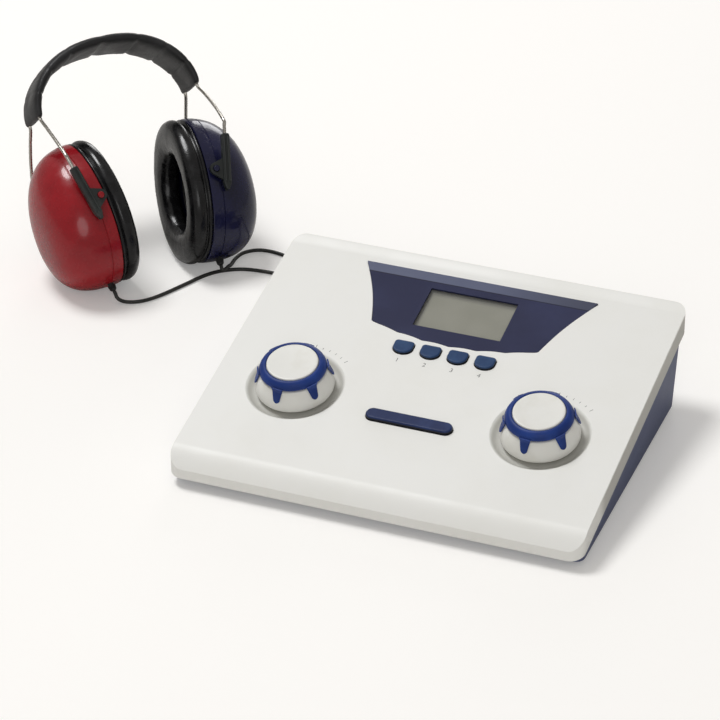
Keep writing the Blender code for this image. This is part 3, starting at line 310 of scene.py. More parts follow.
def lofted(rings):
    """Closed rings with the same number of points, as a grid that is wrapped round them and capped."""
    count, last = len(rings[0]), len(rings) - 1
    shape = bmesh.new()
    bmesh.ops.create_grid(shape, x_segments=last, y_segments=count, size=0.5)
    for vert in shape.verts:
        across, around = round((vert.co.x + 0.5) * last), round((vert.co.y + 0.5) * count)
        vert.co = rings[across][around % count]
    return cleaned(shape)


def bevelled(shape, edges, width, segments):
    bmesh.ops.bevel(shape, geom=edges, offset=width, segments=segments, profile=0.5, affect="EDGES",
                    clamp_overlap=True)
    return shape


def round_edges(shape, width, segments, angle=35 * DEG, chosen=None):
    """Bevels the edges that turn by more than the angle."""
    edges = [edge for edge in shape.edges if len(edge.link_faces) == 2 and edge.calc_face_angle() > angle
             and (chosen is None or chosen(edge))]
    return bevelled(shape, edges, width, segments)


def score(shape, y):
    """Cuts the shape's faces along the line at that y."""
    bmesh.ops.bisect_plane(shape, geom=shape.verts[:] + shape.edges[:] + shape.faces[:], plane_co=(0, y, 0),
                           plane_no=(0, 1, 0), dist=0.002 * MM)


# %% Helpers for objects
def new_object(name, shape):
    mesh = bpy.data.meshes.new(name)
    shape.to_mesh(mesh)
    shape.free()
    return placed(name, mesh)


def final_mesh(obj):
    """The object's mesh after its modifiers, or the mesh that a curve draws."""
    bpy.context.view_layer.update()
    graph = bpy.context.evaluated_depsgraph_get()
    return bpy.data.meshes.new_from_object(obj.evaluated_get(graph), depsgraph=graph)


def drawn_shape(name, curve):
    """The shape that a curve draws, as a bmesh."""
    drawn = placed(name, curve)
    shape = bmesh.new()
    shape.from_mesh(final_mesh(drawn))
    bpy.data.objects.remove(drawn, do_unlink=True)
    return shape


def applied(obj):
    """The object with its modifiers written into its mesh."""
    mesh = final_mesh(obj)
    obj.modifiers.clear()
    obj.data = mesh
    return obj


def carve(obj, *tools, operation="DIFFERENCE"):
    """Booleans with throw-away tool shapes, applied at once."""
    helpers = [new_object("tool", tool) for tool in tools]
    for helper in helpers:
        step = obj.modifiers.new("carve", "BOOLEAN")
        step.operation, step.solver, step.object = operation, "EXACT", helper
    applied(obj)
    for helper in helpers:
        bpy.data.objects.remove(helper, do_unlink=True)


def shade(obj, look, smooth):
    """The material, and smooth shading with sharp edges above the angle in degrees."""
    obj.data.materials.clear()
    obj.data.materials.append(look.material)
    obj.data.polygons.foreach_set("use_smooth", [True] * len(obj.data.polygons))
    obj.data.set_sharp_from_angle(angle=smooth * DEG)


def finish(obj, look, body, node=None, smooth=35):
    """Shades the object, rides it on its CAD body, and hides the CAD node that it replaces."""
    shade(obj, look, smooth)
    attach(obj, body)
    if node:
        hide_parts(node)
    return obj


# %% Helpers for lines
def arc(centre, radius, start, end, count):
    """Points along an arc, both ends included."""
    return [(centre[0] + radius * math.cos(start + (end - start) * i / count),
             centre[1] + radius * math.sin(start + (end - start) * i / count)) for i in range(count + 1)]


def length_of(points):
    return sum((b - a).length for a, b in zip(points, points[1:]))


def smooth_route(points, step):
    """A Catmull-Rom curve through the points, read at an even step."""
    knots = [Vector(point) for point in points]
    ends = [2 * knots[0] - knots[1]] + knots + [2 * knots[-1] - knots[-2]]
    dense = []
    for a, b, c, d in zip(ends, ends[1:], ends[2:], ends[3:]):
        for i in range(40):
            t = i / 40
            dense.append(0.5 * (2 * b + (c - a) * t + (2 * a - 5 * b + 4 * c - d) * t * t
                                + (3 * b - a - 3 * c + d) * t ** 3))
    dense.append(knots[-1])
    lengths = [0.0]
    for a, b in zip(dense, dense[1:]):
        lengths.append(lengths[-1] + (b - a).length)
    count = max(2, round(lengths[-1] / step))
    read, at = [], 0
    for i in range(count + 1):
        want = lengths[-1] * i / count
        while at < len(dense) - 2 and lengths[at + 1] < want:
            at += 1
        span = lengths[at + 1] - lengths[at]
        share = (want - lengths[at]) / span if span else 0
        read.append(dense[at].lerp(dense[at + 1], min(1.0, max(0.0, share))))
    return read


def tube(name, points, radius):
    """A round tube along the points, made a mesh with its caps joined on."""
    curve = bpy.data.curves.new(name, "CURVE")
    curve.dimensions = "3D"
    curve.bevel_depth, curve.bevel_resolution, curve.use_fill_caps = radius, 4, True
    spline = curve.splines.new("POLY")
    spline.points.add(len(points) - 1)
    for point, at in zip(spline.points, points):
        point.co = (*at, 1.0)
    return new_object(name, cleaned(drawn_shape(name, curve), 0.002 * MM))


print("Mesh helpers are ready")

# %% [markdown]
# The light is a plain studio: a wide soft lamp above the left side, which gives the console its shadow on
# the right, a weak one in front, a low one behind that edges the cups' tops, and a pale world. The floor
# glows for the camera alone, through Light Path, so the background is nearly white with no extra light on
# the object. Reflections see the floor darker than it is, which keeps the dark plastics deep.

# %% Floor, lamps and world
floor_look = Finish("studio_floor", (249, 247, 243), 0.9)
sees_camera, _, _, sees_glossy, *_ = floor_look.node("ShaderNodeLightPath")
glow = floor_look.node("ShaderNodeEmission", Color=(1, 1, 1, 1), Strength=sees_camera * 1.7)[0]
glow_share = sees_camera * 0.12 + sees_glossy * 0.4
both = add_node(floor_look.tree, "ShaderNodeMixShader", None,
                {0: glow_share, 1: Signal(floor_look.shader.outputs[0]), 2: glow})[0]
fill(floor_look.tree, floor_look.tree.nodes["Material Output"].inputs, {"Surface": both})
ground = bmesh.new()
bmesh.ops.create_grid(ground, x_segments=1, y_segments=1, size=6)
floor = new_object("studio_floor", ground)
floor.data.materials.append(floor_look.material)

world = bpy.data.worlds.new("studio")
world.use_nodes = True
bpy.context.scene.world = world
sky_for_all, sky_for_camera = 0.34, 0.66
fill(world.node_tree, world.node_tree.nodes["Background"].inputs, {
    "Color": (1.0, 0.965, 0.93, 1.0),
    "Strength": add_node(world.node_tree, "ShaderNodeLightPath")[0] * sky_for_camera + sky_for_all})


def lamp(name, place, aim, size, power, colour=(1, 1, 1)):
    light = bpy.data.lights.new(name, "AREA")
    light.shape, light.size, light.energy, light.color = "DISK", size, power, colour
    made = placed(name, light)
    made.location = place
    made.rotation_euler = (Vector(aim) - Vector(place)).to_track_quat("-Z", "Y").to_euler()


lamp("key_softbox", (-1.3, 0.25, 3.3), (0.05, -0.03, 0), 1.3, 72, (0.985, 0.99, 1.0))
lamp("front_fill", (0.9, -2.4, 1.5), (0, 0, 0), 1.4, 10)
lamp("rear_softbox", (-0.6, 2.9, 0.9), (0, 0, 0.08), 1.3, 14)
print("Studio:", len(bpy.data.lights), "lamps, a floor and a world")

# %% [markdown]
# The cords are limp, 2.5 mm thick and about a metre long each. Most of that length isn't in the picture,
# so it lies behind the console in two small coils, and ends in plugs in the rear wall. The route repeats
# the CAD source's points. A route that goes from a swinging cup to a console that stands still crosses
# three joints, so each cord is cut into three lengths: two short ones at the cup's hinge and the guides'
# slide, and a long one that runs on to the console.

# %% Routes of the cords
cord_radius, gap, gland_length, gland_radius, gland_depth = mm(1.25, 0.3, 4, 2.7, 8)
cord_rest = cord_radius + 0.1 * MM
socket_height, base_back, plug_length = mm(27, 93.2, 26.8)
gland_turn = 12 * DEG
dome_side_share, dome_pole_share = 0.72, 0.70       # under 1: fuller than half a ball
cord_plans = {
    "right": {
        "socket": -84, "centre": (-112, 134),
        "run": [(-250.0, 84.4, 4.2), (-245.4, 86.6, 1.6), (-236.7, 91.3), (-228.6, 102.0), (-219.4, 121.3),
                (-211.9, 137.6), (-203.6, 147.9), (-190.4, 155.4), (-171.2, 157.5), (-150.0, 155.5),
                (-130.0, 152.6)],
        "tail": [(-93, 153, 13), (-83, 147, 17), (-81, 135, 23)],
    },
    "left": {
        "socket": -58, "centre": (-60, 151),
        "run": [(-199.8, 142.0, 5.4), (-199.2, 150.2, 4.9), (-200.6, 156.5, 2.2), (-201.8, 167.0),
                (-200.0, 176.0), (-193.5, 182.5), (-184.1, 184.5), (-170.0, 182.0), (-140.0, 175.5),
                (-105.0, 171.0), (-78.0, 169.4)],
        "tail": [(-44, 168, 14), (-35, 156, 17), (-38, 141, 22), (-50, 132, 26)],
    },
}


def coil_route(centre, layers=4, turns=2, inner=12 * MM, pitch=3 * MM, around=48):
    """A flat spiral in, then out on top of it, and so on, each turn a bit over a diameter from the last."""
    points = []
    for i in range(layers * turns * around + 1):
        turn = i / around
        layer = min(int(turn / turns), layers - 1)
        share = turn / turns - layer
        out = turns * pitch * (share if layer % 2 else 1 - share)
        height = layer
        for reversal in range(1, layers):
            away = turn - reversal * turns
            if abs(away) < 0.25:
                smooth = 0.5 + 2 * away
                height = reversal - 1 + smooth * smooth * (3 - 2 * smooth)
        angle = 90 * DEG - 2 * math.pi * turn
        points.append(Vector((centre[0] + (inner + out) * math.cos(angle),
                              centre[1] + (inner + out) * math.sin(angle), cord_rest + height * pitch)))
    lead_in, lead_out = (points[0] - points[1]).normalized(), (points[-1] - points[-2]).normalized()
    lead_in.z = lead_out.z = 0
    return ([points[0] + lead_in.normalized() * 2 * cord_radius] + points
            + [points[-1] + lead_out.normalized() * 2 * cord_radius])


def dome_radius_at(depth):
    share = math.acos((depth / cup_depth) ** (1 / dome_pole_share)) / (math.pi / 2)
    return cup_half_width * math.sin(share * math.pi / 2) ** dome_side_share


GLAND = {}
for side, sign in sides.items():
    seat = dome_radius_at(gland_depth) * cup_stretch
    along = math.atan(math.tan(gland_turn) / cup_stretch)
    GLAND[side] = (CUP[side] @ Matrix.Translation((-seat * math.cos(along),
                                                   sign * seat / cup_stretch * math.sin(along), gland_depth))
                   @ Matrix.Rotation(-sign * gland_turn, 4, "Z") @ Matrix.Rotation(-90 * DEG, 4, "Y"))

cord_routes = {}
for side, plan in cord_plans.items():
    local = GLAND[side].copy()
    local.translation -= MIDDLE
    leave = local @ Vector((0, 0, gland_length + 2.4 * gap))
    heading = (local.to_3x3() @ Vector((0, 0, 1))).normalized()
    coil = coil_route(mm(*plan["centre"]))
    coil_in, coil_out = (coil[1] - coil[0]).normalized(), (coil[-1] - coil[-2]).normalized()
    route = [leave, leave + heading * 2.4 * MM]
    route += [Vector((x, y, height[0] if height else cord_rest / MM)) * MM for x, y, *height in plan["run"]]
    route += [coil[0] - coil_in * 6 * MM, coil[0]]
    plug_at = Vector((plan["socket"] * MM, base_back + plug_length + gap, socket_height))
    tail = [coil[-1], coil[-1] + coil_out * 5 * MM] + [Vector(point) * MM for point in plan["tail"]]
    tail += [plug_at + Vector((0, 6 * MM, 0)), plug_at]
    whole = smooth_route(route, 2 * MM) + coil[1:-1] + smooth_route(tail, 2 * MM)
    cord_routes[side] = [MIDDLE + point for point in whole]
    print(side, "cord:", round(length_of(whole), 3), "m")

# %% [markdown]
# A cord's skin is soft rubber: dark grey, a little glossy, with faint dust. Its noise reads Object
# coordinates, so it doesn't depend on how the tube was made.

# %% Cord rubber and black plastic
cord_rubber = plain_look("cord_rubber", (44, 44, 42), ((40, 40, 38), (74, 73, 69)),
                         (160, 3, 0.45, 0.75, 0.35), (160, 3), (0.18, 0.34))
cord_rubber.bump(cord_rubber.noise(2600, 1), 0.05 * MM, 0.5)
black_moulding = plain_look("black_moulding", (26, 26, 27), ((24, 24, 25), (52, 52, 52)),
                            (90, 4, 0.5, 0.8, 0.4), (90, 4), (0.2, 0.33))
black_moulding.bump(black_moulding.noise(3800, 1), 0.04 * MM, 0.4)
print("Cord rubber and black plastic ready")


# %% Cords, glands and plugs
hinge_share, slide_share, lift_share = 18, 36, 42   # 2 mm steps: where two lengths end, and a third's bend
for side in sides:
    body, guides, route = f"{side}_cup", f"{side}_guides", cord_routes[side]
    main = route[slide_share:]
    pieces = {"hinge": (route[:hinge_share + 1], body, guides),
              "slide": (route[hinge_share:slide_share + 1], guides, "headband"),
              "main": (main, "headband", "console")}
    drawn = {}
    for piece, (points, start_body, end_body) in pieces.items():
        part = drawn[piece] = tube(f"{side}_cord_{piece}", points, cord_radius)
        shade(part, cord_rubber, 50)
        end = points[lift_share] if piece == "main" else points[-1]
        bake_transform(part)
    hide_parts(f"{side}_cord_run", f"{side}_cord_coil", f"{side}_cord_tail")

    relief = [(0, 1.0), (0.62, 1.0)]
    for i in range(5):
        low = 0.86 - 0.16 * i
        relief += [(0.72 + 0.05 * i, low), (0.84 + 0.04 * i, low - 0.05), (0.84 + 0.04 * i, low - 0.11)]
    foot, below = 2 * gap / gland_length, -3 * MM / gland_length
    relief += [(1.0, foot), (0.7, foot), (0.7, below), (0, below)]
    relief = [(radius * gland_radius, height * gland_length) for radius, height in relief]
    gland = new_object(f"{side}_gland", moved(turned(relief, 64), GLAND[side]))
    finish(gland, black_moulding, body, f"{side}_cord_gland")

    boot = [(0, 24), (1.9, 24)]
    for i in range(6):
        top, radius = 23.2 - 1.2 * i, 2.05 + 0.22 * i
        boot += [(radius, top), (radius + 0.3, top - 0.25), (radius + 0.3, top - 0.75), (radius, top - 1.0)]
    boot += [(4.3, 15.4), (4.9, 14.2), (5, 12.6), (5, 0), (0, 0)]
    place = MIDDLE + Vector((cord_plans[side]["socket"] * MM, base_back + 2.8 * MM, socket_height))
    boot_shape = moved(turned(profile(*boot), 64),
                       Matrix.Translation(place) @ Matrix.Rotation(-90 * DEG, 4, "X"))
    plug = finish(new_object(f"{side}_plug", boot_shape), black_moulding, "console", f"{side}_cord_plug")
    for piece in ("hinge", "slide"):
        points = pieces[piece][0]
        length_of(points)
        2 * cord_radius
    length_of(main)
    2 * cord_radius
    print(side, "cord, gland and plug made")

# %% [markdown]
# The ear cups are hard shells with a clear glossy skin. A cup is a turned profile: a flat band next to the
# rim, a fine seam, then a dome that is fuller than half a ball. Stretching makes it oval, and a small shift
# makes it egg-shaped, wide below and narrow above, as an ear is.

# %% Cup gloss
def gloss(name, colour, darker):
    look = Finish(name, colour, 0.2, **{"Coat Weight": 0.5, "Coat Roughness": 0.07, "Coat IOR": 1.4,
                                        "Specular IOR Level": 0.3})
    look.set({"Base Color": look.tint(look.noise(38, 4).step(0.35, 0.75), colour, darker),
              "Roughness": look.noise(210, 3).step(0.3, 0.8) * 0.14 + 0.2})
    look.bump(look.noise(420, 2), 0.05 * MM, 0.35)
    return look


cup_looks = {"right": gloss("cup_red", (150, 20, 30), (132, 14, 24)),
             "left": gloss("cup_blue", (24, 25, 60), (17, 18, 46))}
pin_rise, pin_depth, pin_radius, pin_length = mm(5, 4.5, 2.1, 11.2)
guide_side_gap, guide_thickness, guide_length, guide_below_pin = mm(1.2, 4.6, 38, 14)
pin_span = cup_half_width + guide_side_gap + guide_thickness / 2
print("Gloss for the cups:", [look.material.name for look in cup_looks.values()])


# %% Ear cup shells
pole_shift, low_trim = 8 * MM, 0.03


def egg(shape):
    """Stretches a round cup into an egg: wider below, with its pole well below the middle."""
    for vert in shape.verts:
        along, across, out = vert.co
        along *= cup_stretch
        low = -along / cup_half_height
        along *= 1 - low_trim * max(0.0, low)
        shift = pole_shift * (1 - 0.65 * max(0.0, low)) * max(0.0, out / cup_depth) ** 2
        vert.co = (along - shift, across * (1 + 0.04 * low), out)
    return shape


def dome_line(radius, depth, foot, count=40):
    line = []
    for i in range(count + 1):
        angle = math.pi / 2 * i / count
        point = (radius * math.sin(angle) ** dome_side_share, depth * math.cos(angle) ** dome_pole_share)
        if point[1] > foot:
            line.append(point)
    return line


band, shell_wall = 0.2 * cup_depth, 2.4 * MM
pin_start = pin_span + guide_thickness / 2 + gap - pin_length
for side in sides:
    outer = dome_line(cup_half_width, cup_depth, band + 0.4 * MM)
    edge = outer[-1][0]
    rim = [(edge + 0.05 * MM, band + 0.4 * MM), (edge - 0.3 * MM, band + 0.1 * MM),
           (edge - 0.3 * MM, band - 0.15 * MM), (cup_half_width, band - 0.5 * MM),
           (cup_half_width + 0.1 * MM, 0.5 * band), (cup_half_width, 0.5 * MM),
           (cup_half_width - 0.5 * MM, 0), (cup_half_width - shell_wall, 0)]
    inner = dome_line(cup_half_width - shell_wall, cup_depth - shell_wall, 0.5 * MM, 16)
    shell = egg(turned(outer + rim + inner[::-1], 128))
    for end in (-1, 1):
        pin = turned([(0, pin_length), (pin_radius - 0.5 * MM, pin_length),
                      (pin_radius, pin_length - 0.5 * MM), (pin_radius, 0), (0, 0)], 32)
        joined(shell, moved(pin, Matrix.Translation((pin_rise, end * pin_start, pin_depth))
                            @ Matrix.Rotation(-end * 90 * DEG, 4, "X")))
    cup = new_object(f"{side}_cup", moved(shell, CUP[side]))
    finish(cup, cup_looks[side], f"{side}_cup", f"{side}_cup_shell", 40)
    print(cup.name, len(cup.data.polygons), "faces")

# %% [markdown]
# An ear cushion is a ring of foam in a thin glossy skin. Its profile starts with the flat plate that clips
# to the cup, has a groove for the weld, and then swells. Noise pushes the skin in and out by a tenth of a
# millimetre, more toward the hole, where a real skin gathers in folds.

# %% Cushion skin and earphone cloth
vinyl = Finish("cushion_skin", (15, 15, 16), 0.2, **{"Coat Weight": 0.35, "Coat Roughness": 0.12,
                                                      "Coat IOR": 1.35, "Specular IOR Level": 0.3})
creases = vinyl.noise(120, 5, roughness=0.6)
vinyl.set({"Roughness": creases.step(0.35, 0.7) * 0.16 + 0.2,
           "Base Color": vinyl.tint(creases.step(0.4, 0.8), (16, 16, 17), (32, 32, 34))})
vinyl.bump(creases * 0.7 + vinyl.cells(1300) * 0.3, 0.22 * MM, 0.3)

cloth = Finish("earphone_cloth", (30, 30, 31), 0.95)
threads = [cloth.node("ShaderNodeTexWave", {"bands_direction": way}, Vector=cloth.place, Scale=scale)[1]
           for way, scale in (("DIAGONAL", 420.0), ("X", 500.0))]
weave = threads[0].larger(threads[1])
cloth.set({"Base Color": cloth.tint(weave, (14, 14, 15), (44, 44, 46))})
cloth.bump(weave, 0.2 * MM, 0.6)
print("Cushion skin and cloth ready")

# %% Ear cushions and earphones
hole_radius, cushion_depth = cup_half_width * 0.53, 14 * MM
bulge = (cup_half_width - hole_radius) / 2
centre_line = cup_half_width - bulge
ring_points = [(0.62, 0.0), (0.90, 0.02), (0.97, 0.06), (0.97, 0.11), (0.90, 0.16), (0.80, 0.20),
               (0.80, 0.24), (0.93, 0.31), (1.0, 0.46), (0.97, 0.66), (0.78, 0.88), (0.42, 0.985),
               (0.0, 1.0), (-0.42, 0.975), (-0.80, 0.86), (-1.0, 0.62), (-1.0, 0.38), (-0.88, 0.16),
               (-0.60, 0.0)]
ring_line = smooth_route([(centre_line + across * bulge, 0, -gap - down * cushion_depth)
                          for across, down in ring_points], 0.75 * MM)
for side in sides:
    ring = turned([(point.x, point.z) for point in ring_line], 144)
    for vert in ring.verts:
        down = -vert.co.z / cushion_depth
        if down > 0.26:
            around = math.atan2(vert.co.y, vert.co.x)
            radius = math.hypot(vert.co.x, vert.co.y)
            inward = min(1.0, max(0.0, (centre_line - radius) / bulge + 0.4))
            spot = Vector((3.2 * math.cos(around), 3.2 * math.sin(around), 2.5 * down + sides[side]))
            fold = noise.noise(spot * 1.3) * 0.22 + inward * 0.2 * noise.noise(spot * 5.5)
            out = Vector((math.cos(around), math.sin(around), 0)) * (radius - centre_line) / bulge
            vert.co += (out - Vector((0, 0, down - 0.4))) * fold * MM
    cushion = new_object(f"{side}_cushion", moved(egg(ring), CUP[side]))
    finish(cushion, vinyl, f"{side}_cup", f"{side}_ear_cushion", 50)

    speaker = turned(profile((0, 8.6), (19.8, 8.4), (22, 7.2), (22, 1.8), (21.2, 0.7), (18.5, 0.2),
                             (12, 0.7), (5, 1.5), (0, 1.7)), 72)
    finish(new_object(f"{side}_speaker", moved(speaker, CUP[side])), cloth, f"{side}_cup",
           f"{side}_earphone", 35)
    print(cushion.name, "and", f"{side}_speaker", "made")

# %% [markdown]
# The headband is two steel wires inside a padded sleeve. The band's middle line is one formula, so the
# wires, the sleeve and its welded ribs all follow it. Below the sleeve the wires spread to the sides of the
# cups and run straight into the guides, which slide on them.

# %% Lines of the band
pad_thickness, pad_end_thickness, pad_half_width, pad_end_half_width = mm(7.8, 6, 18, 16)
pad_end_height, crown_height, pad_half_span = mm(121, 163.5, 60)
guide_ear_reach, guide_engaged, wire_straight, wire_radius = mm(7.2, 17, 10.5, 1.15)
guide_angle, guide_top = 14 * DEG, guide_length - guide_below_pin
pin_points = {side: Vector((sign * cup_spacing, 0, cup_half_height))
              + Matrix.Rotation(sign * cup_converge, 3, "Y") @ Vector((sign * pin_depth, 0, pin_rise))
              for side, sign in sides.items()}


def guide_point(along, height):
    """A point on the line of a red guide's wire, that far along the ear and that high over the pin."""
    up = Vector((-math.sin(guide_angle), 0, math.cos(guide_angle)))
    out = Vector((-math.cos(guide_angle), 0, -math.sin(guide_angle)))
    return pin_points["right"] + out * guide_ear_reach + up * height + Vector((0, along, 0))


def band_point(share):
    """The band's middle line; share runs from -1 at the red cup to 1 at the blue one."""
    angle = share * math.pi / 2
    half_span = pad_half_span - pad_thickness / 2
    rise = crown_height - pad_thickness / 2 - pad_end_height
    return Vector((half_span * math.copysign(abs(math.sin(angle)) ** 0.86, angle), 0,
                   pad_end_height + rise * abs(math.cos(angle)) ** 1.14))


def band_frame(share):
    along = (band_point(min(1.0, share + 0.02)) - band_point(max(-1.0, share - 0.02))).normalized()
    return band_point(share), along, Vector((-along.z, 0, along.x))


def wire_route(end):
    """A wire's line: straight in its guide, a gentle bend to the sleeve, over, and the same way down."""
    spread, inner = end * pin_span, end * 12.5 * MM
    leg = [guide_point(spread, guide_top + height) for height in (
        -guide_engaged, 0, 0.3 * wire_straight, 0.6 * wire_straight, 0.85 * wire_straight)]
    below = band_point(-1.0)
    at_pad = Vector((below.x, 1.08 * inner, below.z - 5 * MM))
    rise = (leg[-1] - leg[-2]).normalized()
    leg += [leg[-1].lerp(at_pad, 0.3) + rise * 1.8 * MM, leg[-1].lerp(at_pad, 0.7) + rise * 1.4 * MM, at_pad]
    over = [band_point(-1 + 2 * i / 14) + Vector((0, inner, 0)) for i in range(15)]
    return leg + over + [Vector((-p.x, p.y, p.z)) for p in reversed(leg)]


print("Band height over the cups' foot:", round(crown_height / MM, 1), "mm")

# %% Wire, sleeve and guide looks
steel = plain_look("band_steel", (196, 192, 184), ((196, 192, 184), (140, 134, 124)),
                   (60, 3, 0.5, 0.8, 0.4), (700, 2), (0.2, 0.17), Metallic=1.0)
guide_look = plain_look("guide_moulding", (34, 37, 36), ((30, 34, 33), (52, 56, 54)),
                        (70, 3, 0.5, 0.8, 1.0), (1500, 2), (0.2, 0.36), (0.05, 0.4))
leatherette = Finish("band_leatherette", (26, 26, 27), 0.44, **{"Specular IOR Level": 0.42})
grain = leatherette.cells(1150, "DISTANCE_TO_EDGE").step(0.0, 0.32)
rubbed = leatherette.noise(45, 4)
leatherette.set({"Roughness": rubbed.step(0.35, 0.7) * 0.2 + 0.34,
                 "Base Color": leatherette.tint(rubbed.step(0.45, 0.8) * 0.5, (29, 29, 30), (54, 54, 56))})
leatherette.bump(grain * 0.5 + leatherette.noise(260, 3) * 0.9, 0.3 * MM, 0.35)
print("Looks of the wires, the guides and the sleeve ready")

# %% Band wires
for end, end_sign in (("front", -1), ("rear", 1)):
    line = smooth_route([HEADSET @ point for point in wire_route(end_sign)], 1.5 * MM)
    finish(tube(f"{end}_wire", line, wire_radius), steel, "headband", f"{end}_band_wire", 50)
    print(end, "wire:", round(length_of(line), 3), "m")


# %% Padded sleeve
def sleeve_ring(share, end_share, count=44):
    """One loop round the band. Near a rib the skin is welded down below and dips a little on top."""
    centre, along, out = band_frame(share)
    centre = centre + along * math.copysign(end_share * 0.3 * pad_thickness, share)
    place = (share + 1) / 2 * 8
    nearest = abs(place - round(place))
    rib = math.exp(-(nearest / 0.075) ** 2) if 0.2 < place < 7.8 else 0.0
    swell = math.sin(math.pi * (place % 1.0)) ** 0.6
    scale = 1 - 0.24 * end_share ** 2
    half = (pad_half_width + (pad_end_half_width - pad_half_width) * share ** 2) * (1 - 0.02 * rib)
    thick = pad_thickness + (pad_end_thickness - pad_thickness) * share ** 2
    ring = []
    for i in range(count):
        angle = 2 * math.pi * (i + 0.5) / count
        wide, high = math.cos(angle), math.sin(angle)
        across = half * (1 - 0.06 * end_share ** 2) * math.copysign(abs(wide) ** 0.5, wide)
        level = thick / 2 * scale * math.copysign(abs(high) ** 0.8, high)
        level *= (1 - 0.30 * rib + 0.05 * swell) if high < 0 else (1 - 0.07 * rib)
        spot = Vector((share * 9, wide * 1.6, high))
        wrinkle = 0.16 * MM * noise.noise(spot * 1.6) + 0.07 * MM * noise.noise(spot * 6)
        ring.append(centre + Vector((0, across, 0)) + out * (level + math.copysign(wrinkle, high)))
    return ring


end_shares = (1.0, 0.97, 0.85, 0.6, 0.3)
stations = ([(-1.0, end_share) for end_share in end_shares] + [(-1 + 2 * i / 160, 0.0) for i in range(161)]
            + [(1.0, end_share) for end_share in reversed(end_shares)])
sleeve_rings = [sleeve_ring(*station) for station in stations]
sleeve = new_object("headband_sleeve", moved(lofted(sleeve_rings), HEADSET))
finish(sleeve, leatherette, "headband", "headband_pad", 60)
print("Sleeve:", len(sleeve.data.polygons), "faces")

# %% [markdown]
# Four guides slide on the wires and hold the cups by their pins. Each is a bar with a pointed foot, two
# ridges on its outer face and a three-cornered ear with a hole for the pin.

# %% Guides
for side, sign in sides.items():
    for end, end_sign in (("front", -1), ("rear", 1)):
        half, point_half, cut, point = mm(2.6, 0.9, 0.8, 5)
        low, root, thick = guide_top - guide_length, 0.62 * guide_below_pin, guide_thickness / 2
        bar_outline = [(-half, guide_top - cut), (cut - half, guide_top), (half - cut, guide_top),
                       (half, guide_top - cut), (half, low + point), (point_half, low), (-point_half, low),
                       (-half, low + point)]
        bar = extruded([(sign * guide_ear_reach + x, z) for x, z in bar_outline], -thick, thick)
        round_edges(bar, 0.7 * MM, 3, 30 * DEG)
        ear_eye = arc((0, 0), 2 * pin_radius, 0.62 * math.pi, 1.38 * math.pi, 18)
        ear_line = [(guide_ear_reach, root), *ear_eye, (guide_ear_reach, -root)]
        parts = [extruded([(sign * x, z) for x, z in ear_line], -1.1 * MM, 1.1 * MM)]
        guide = new_object(f"{side}_{end}_guide_bar", bar)
        upright = Matrix.Rotation(-90 * DEG, 4, "X")
        for across in (-1.25, 1.25):
            ridge = turned(profile((0, 15.5), (0.55, 15.2), (0.75, 14.4), (0.75, -14.4), (0.55, -15.2),
                                   (0, -15.5)), 24)
            place = sign * guide_ear_reach + across * MM, 6.5 * MM, -end_sign * thick
            parts.append(moved(ridge, Matrix.Translation(place) @ upright))
        carve(guide, *parts, operation="UNION")
        pin_hole = turned(profile((0, 5), (2.4, 5), (2.4, -5), (0, -5)), 40)
        bore = moved(turned(profile((0, 30), (1.45, 30), (1.45, -30), (0, -30)), 32),
                     Matrix.Translation((sign * guide_ear_reach, 5 * MM, 0)) @ upright)
        carve(guide, pin_hole, bore)
        place = pin_points[side] + Vector((0, end_sign * pin_span, 0))
        turn = Matrix.Rotation(sign * guide_angle, 4, "Y") @ Matrix.Rotation(90 * DEG, 4, "X")
        guide.data.transform(HEADSET @ Matrix.Translation(place) @ turn)
        finish(guide, guide_look, f"{side}_guides", f"{side}_{end}_guide", 35)
print("Four guides made")

# %% [markdown]
# The console's cover is one moulding: a sloped face whose front edge bends down into a nose, rounded
# corners and a soft edge all round. A formula gives its top line, and the same block, drawn in by the wall,
# hollows it. Booleans then sink the dishes for the dials, the pocket for the display frame and the holes.

# %% Cover plastic
def along_face(look, axis):
    """A point's place on the sloped face: axis 0 is across, 1 up the slope and 2 out of the face."""
    way = FACE.to_3x3().col[axis]
    settings, inputs = {"operation": "DOT_PRODUCT"}, {0: look.place, 1: way}
    return add_node(look.tree, "ShaderNodeVectorMath", settings, inputs)[1] - way.dot(FACE.translation)


white = Finish("cover_white", (233, 233, 227), 0.44)
texture = white.noise(2400, 2)
handled = white.noise(14, 5, roughness=0.6)
plastic = white.tint(handled.step(0.42, 0.8) * 0.4, (236, 236, 232), (228, 227, 219))
# Painted shade: the dishes, the pocket and the holes, below the face, are painted darker, as if shade falls
# in them.
painted_recess_shade = (along_face(white, 2) * -1.0).step(0.1 * MM, 2.2 * MM) * along_face(white, 1).step(30 * MM, 45 * MM)
white.set({"Base Color": white.tint(painted_recess_shade * 0.8, plastic, (178, 177, 170)),
           "Roughness": texture * 0.1 + handled.step(0.3, 0.75) * 0.1 + 0.36})
white.bump(texture, 0.05 * MM, 0.22)
print("Cover plastic ready")

# %% Cover block
half_width, cover_wall, cover_skirt, corner_radius, brow_radius = mm(130, 2.6, 13.5, 9, 3.6)
nose_length, nose_drop, roll_length, roll_rise = mm(13, 7.2, 9, 1.3)
half_depth = console_depth / 2


def top_height(y):
    return front_height + (y + half_depth) * math.tan(slope)


def cover_height(y, inset=0.0):
    """Height of the cover's top line, or of a line an inset below it, measured square to it."""
    if inset:
        lean = (cover_height(y + gap) - cover_height(y - gap)) / (2 * gap)
        return cover_height(y) - inset * math.hypot(1, lean)
    into_nose = max(0.0, (nose_length - y - half_depth) / nose_length)
    into_roll = min(1.0, max(0.0, (roll_length - half_depth + y) / roll_length))
    return (top_height(y) - nose_drop * into_nose ** 1.8
            + roll_rise * math.sin(into_roll * math.pi / 2) ** 2)


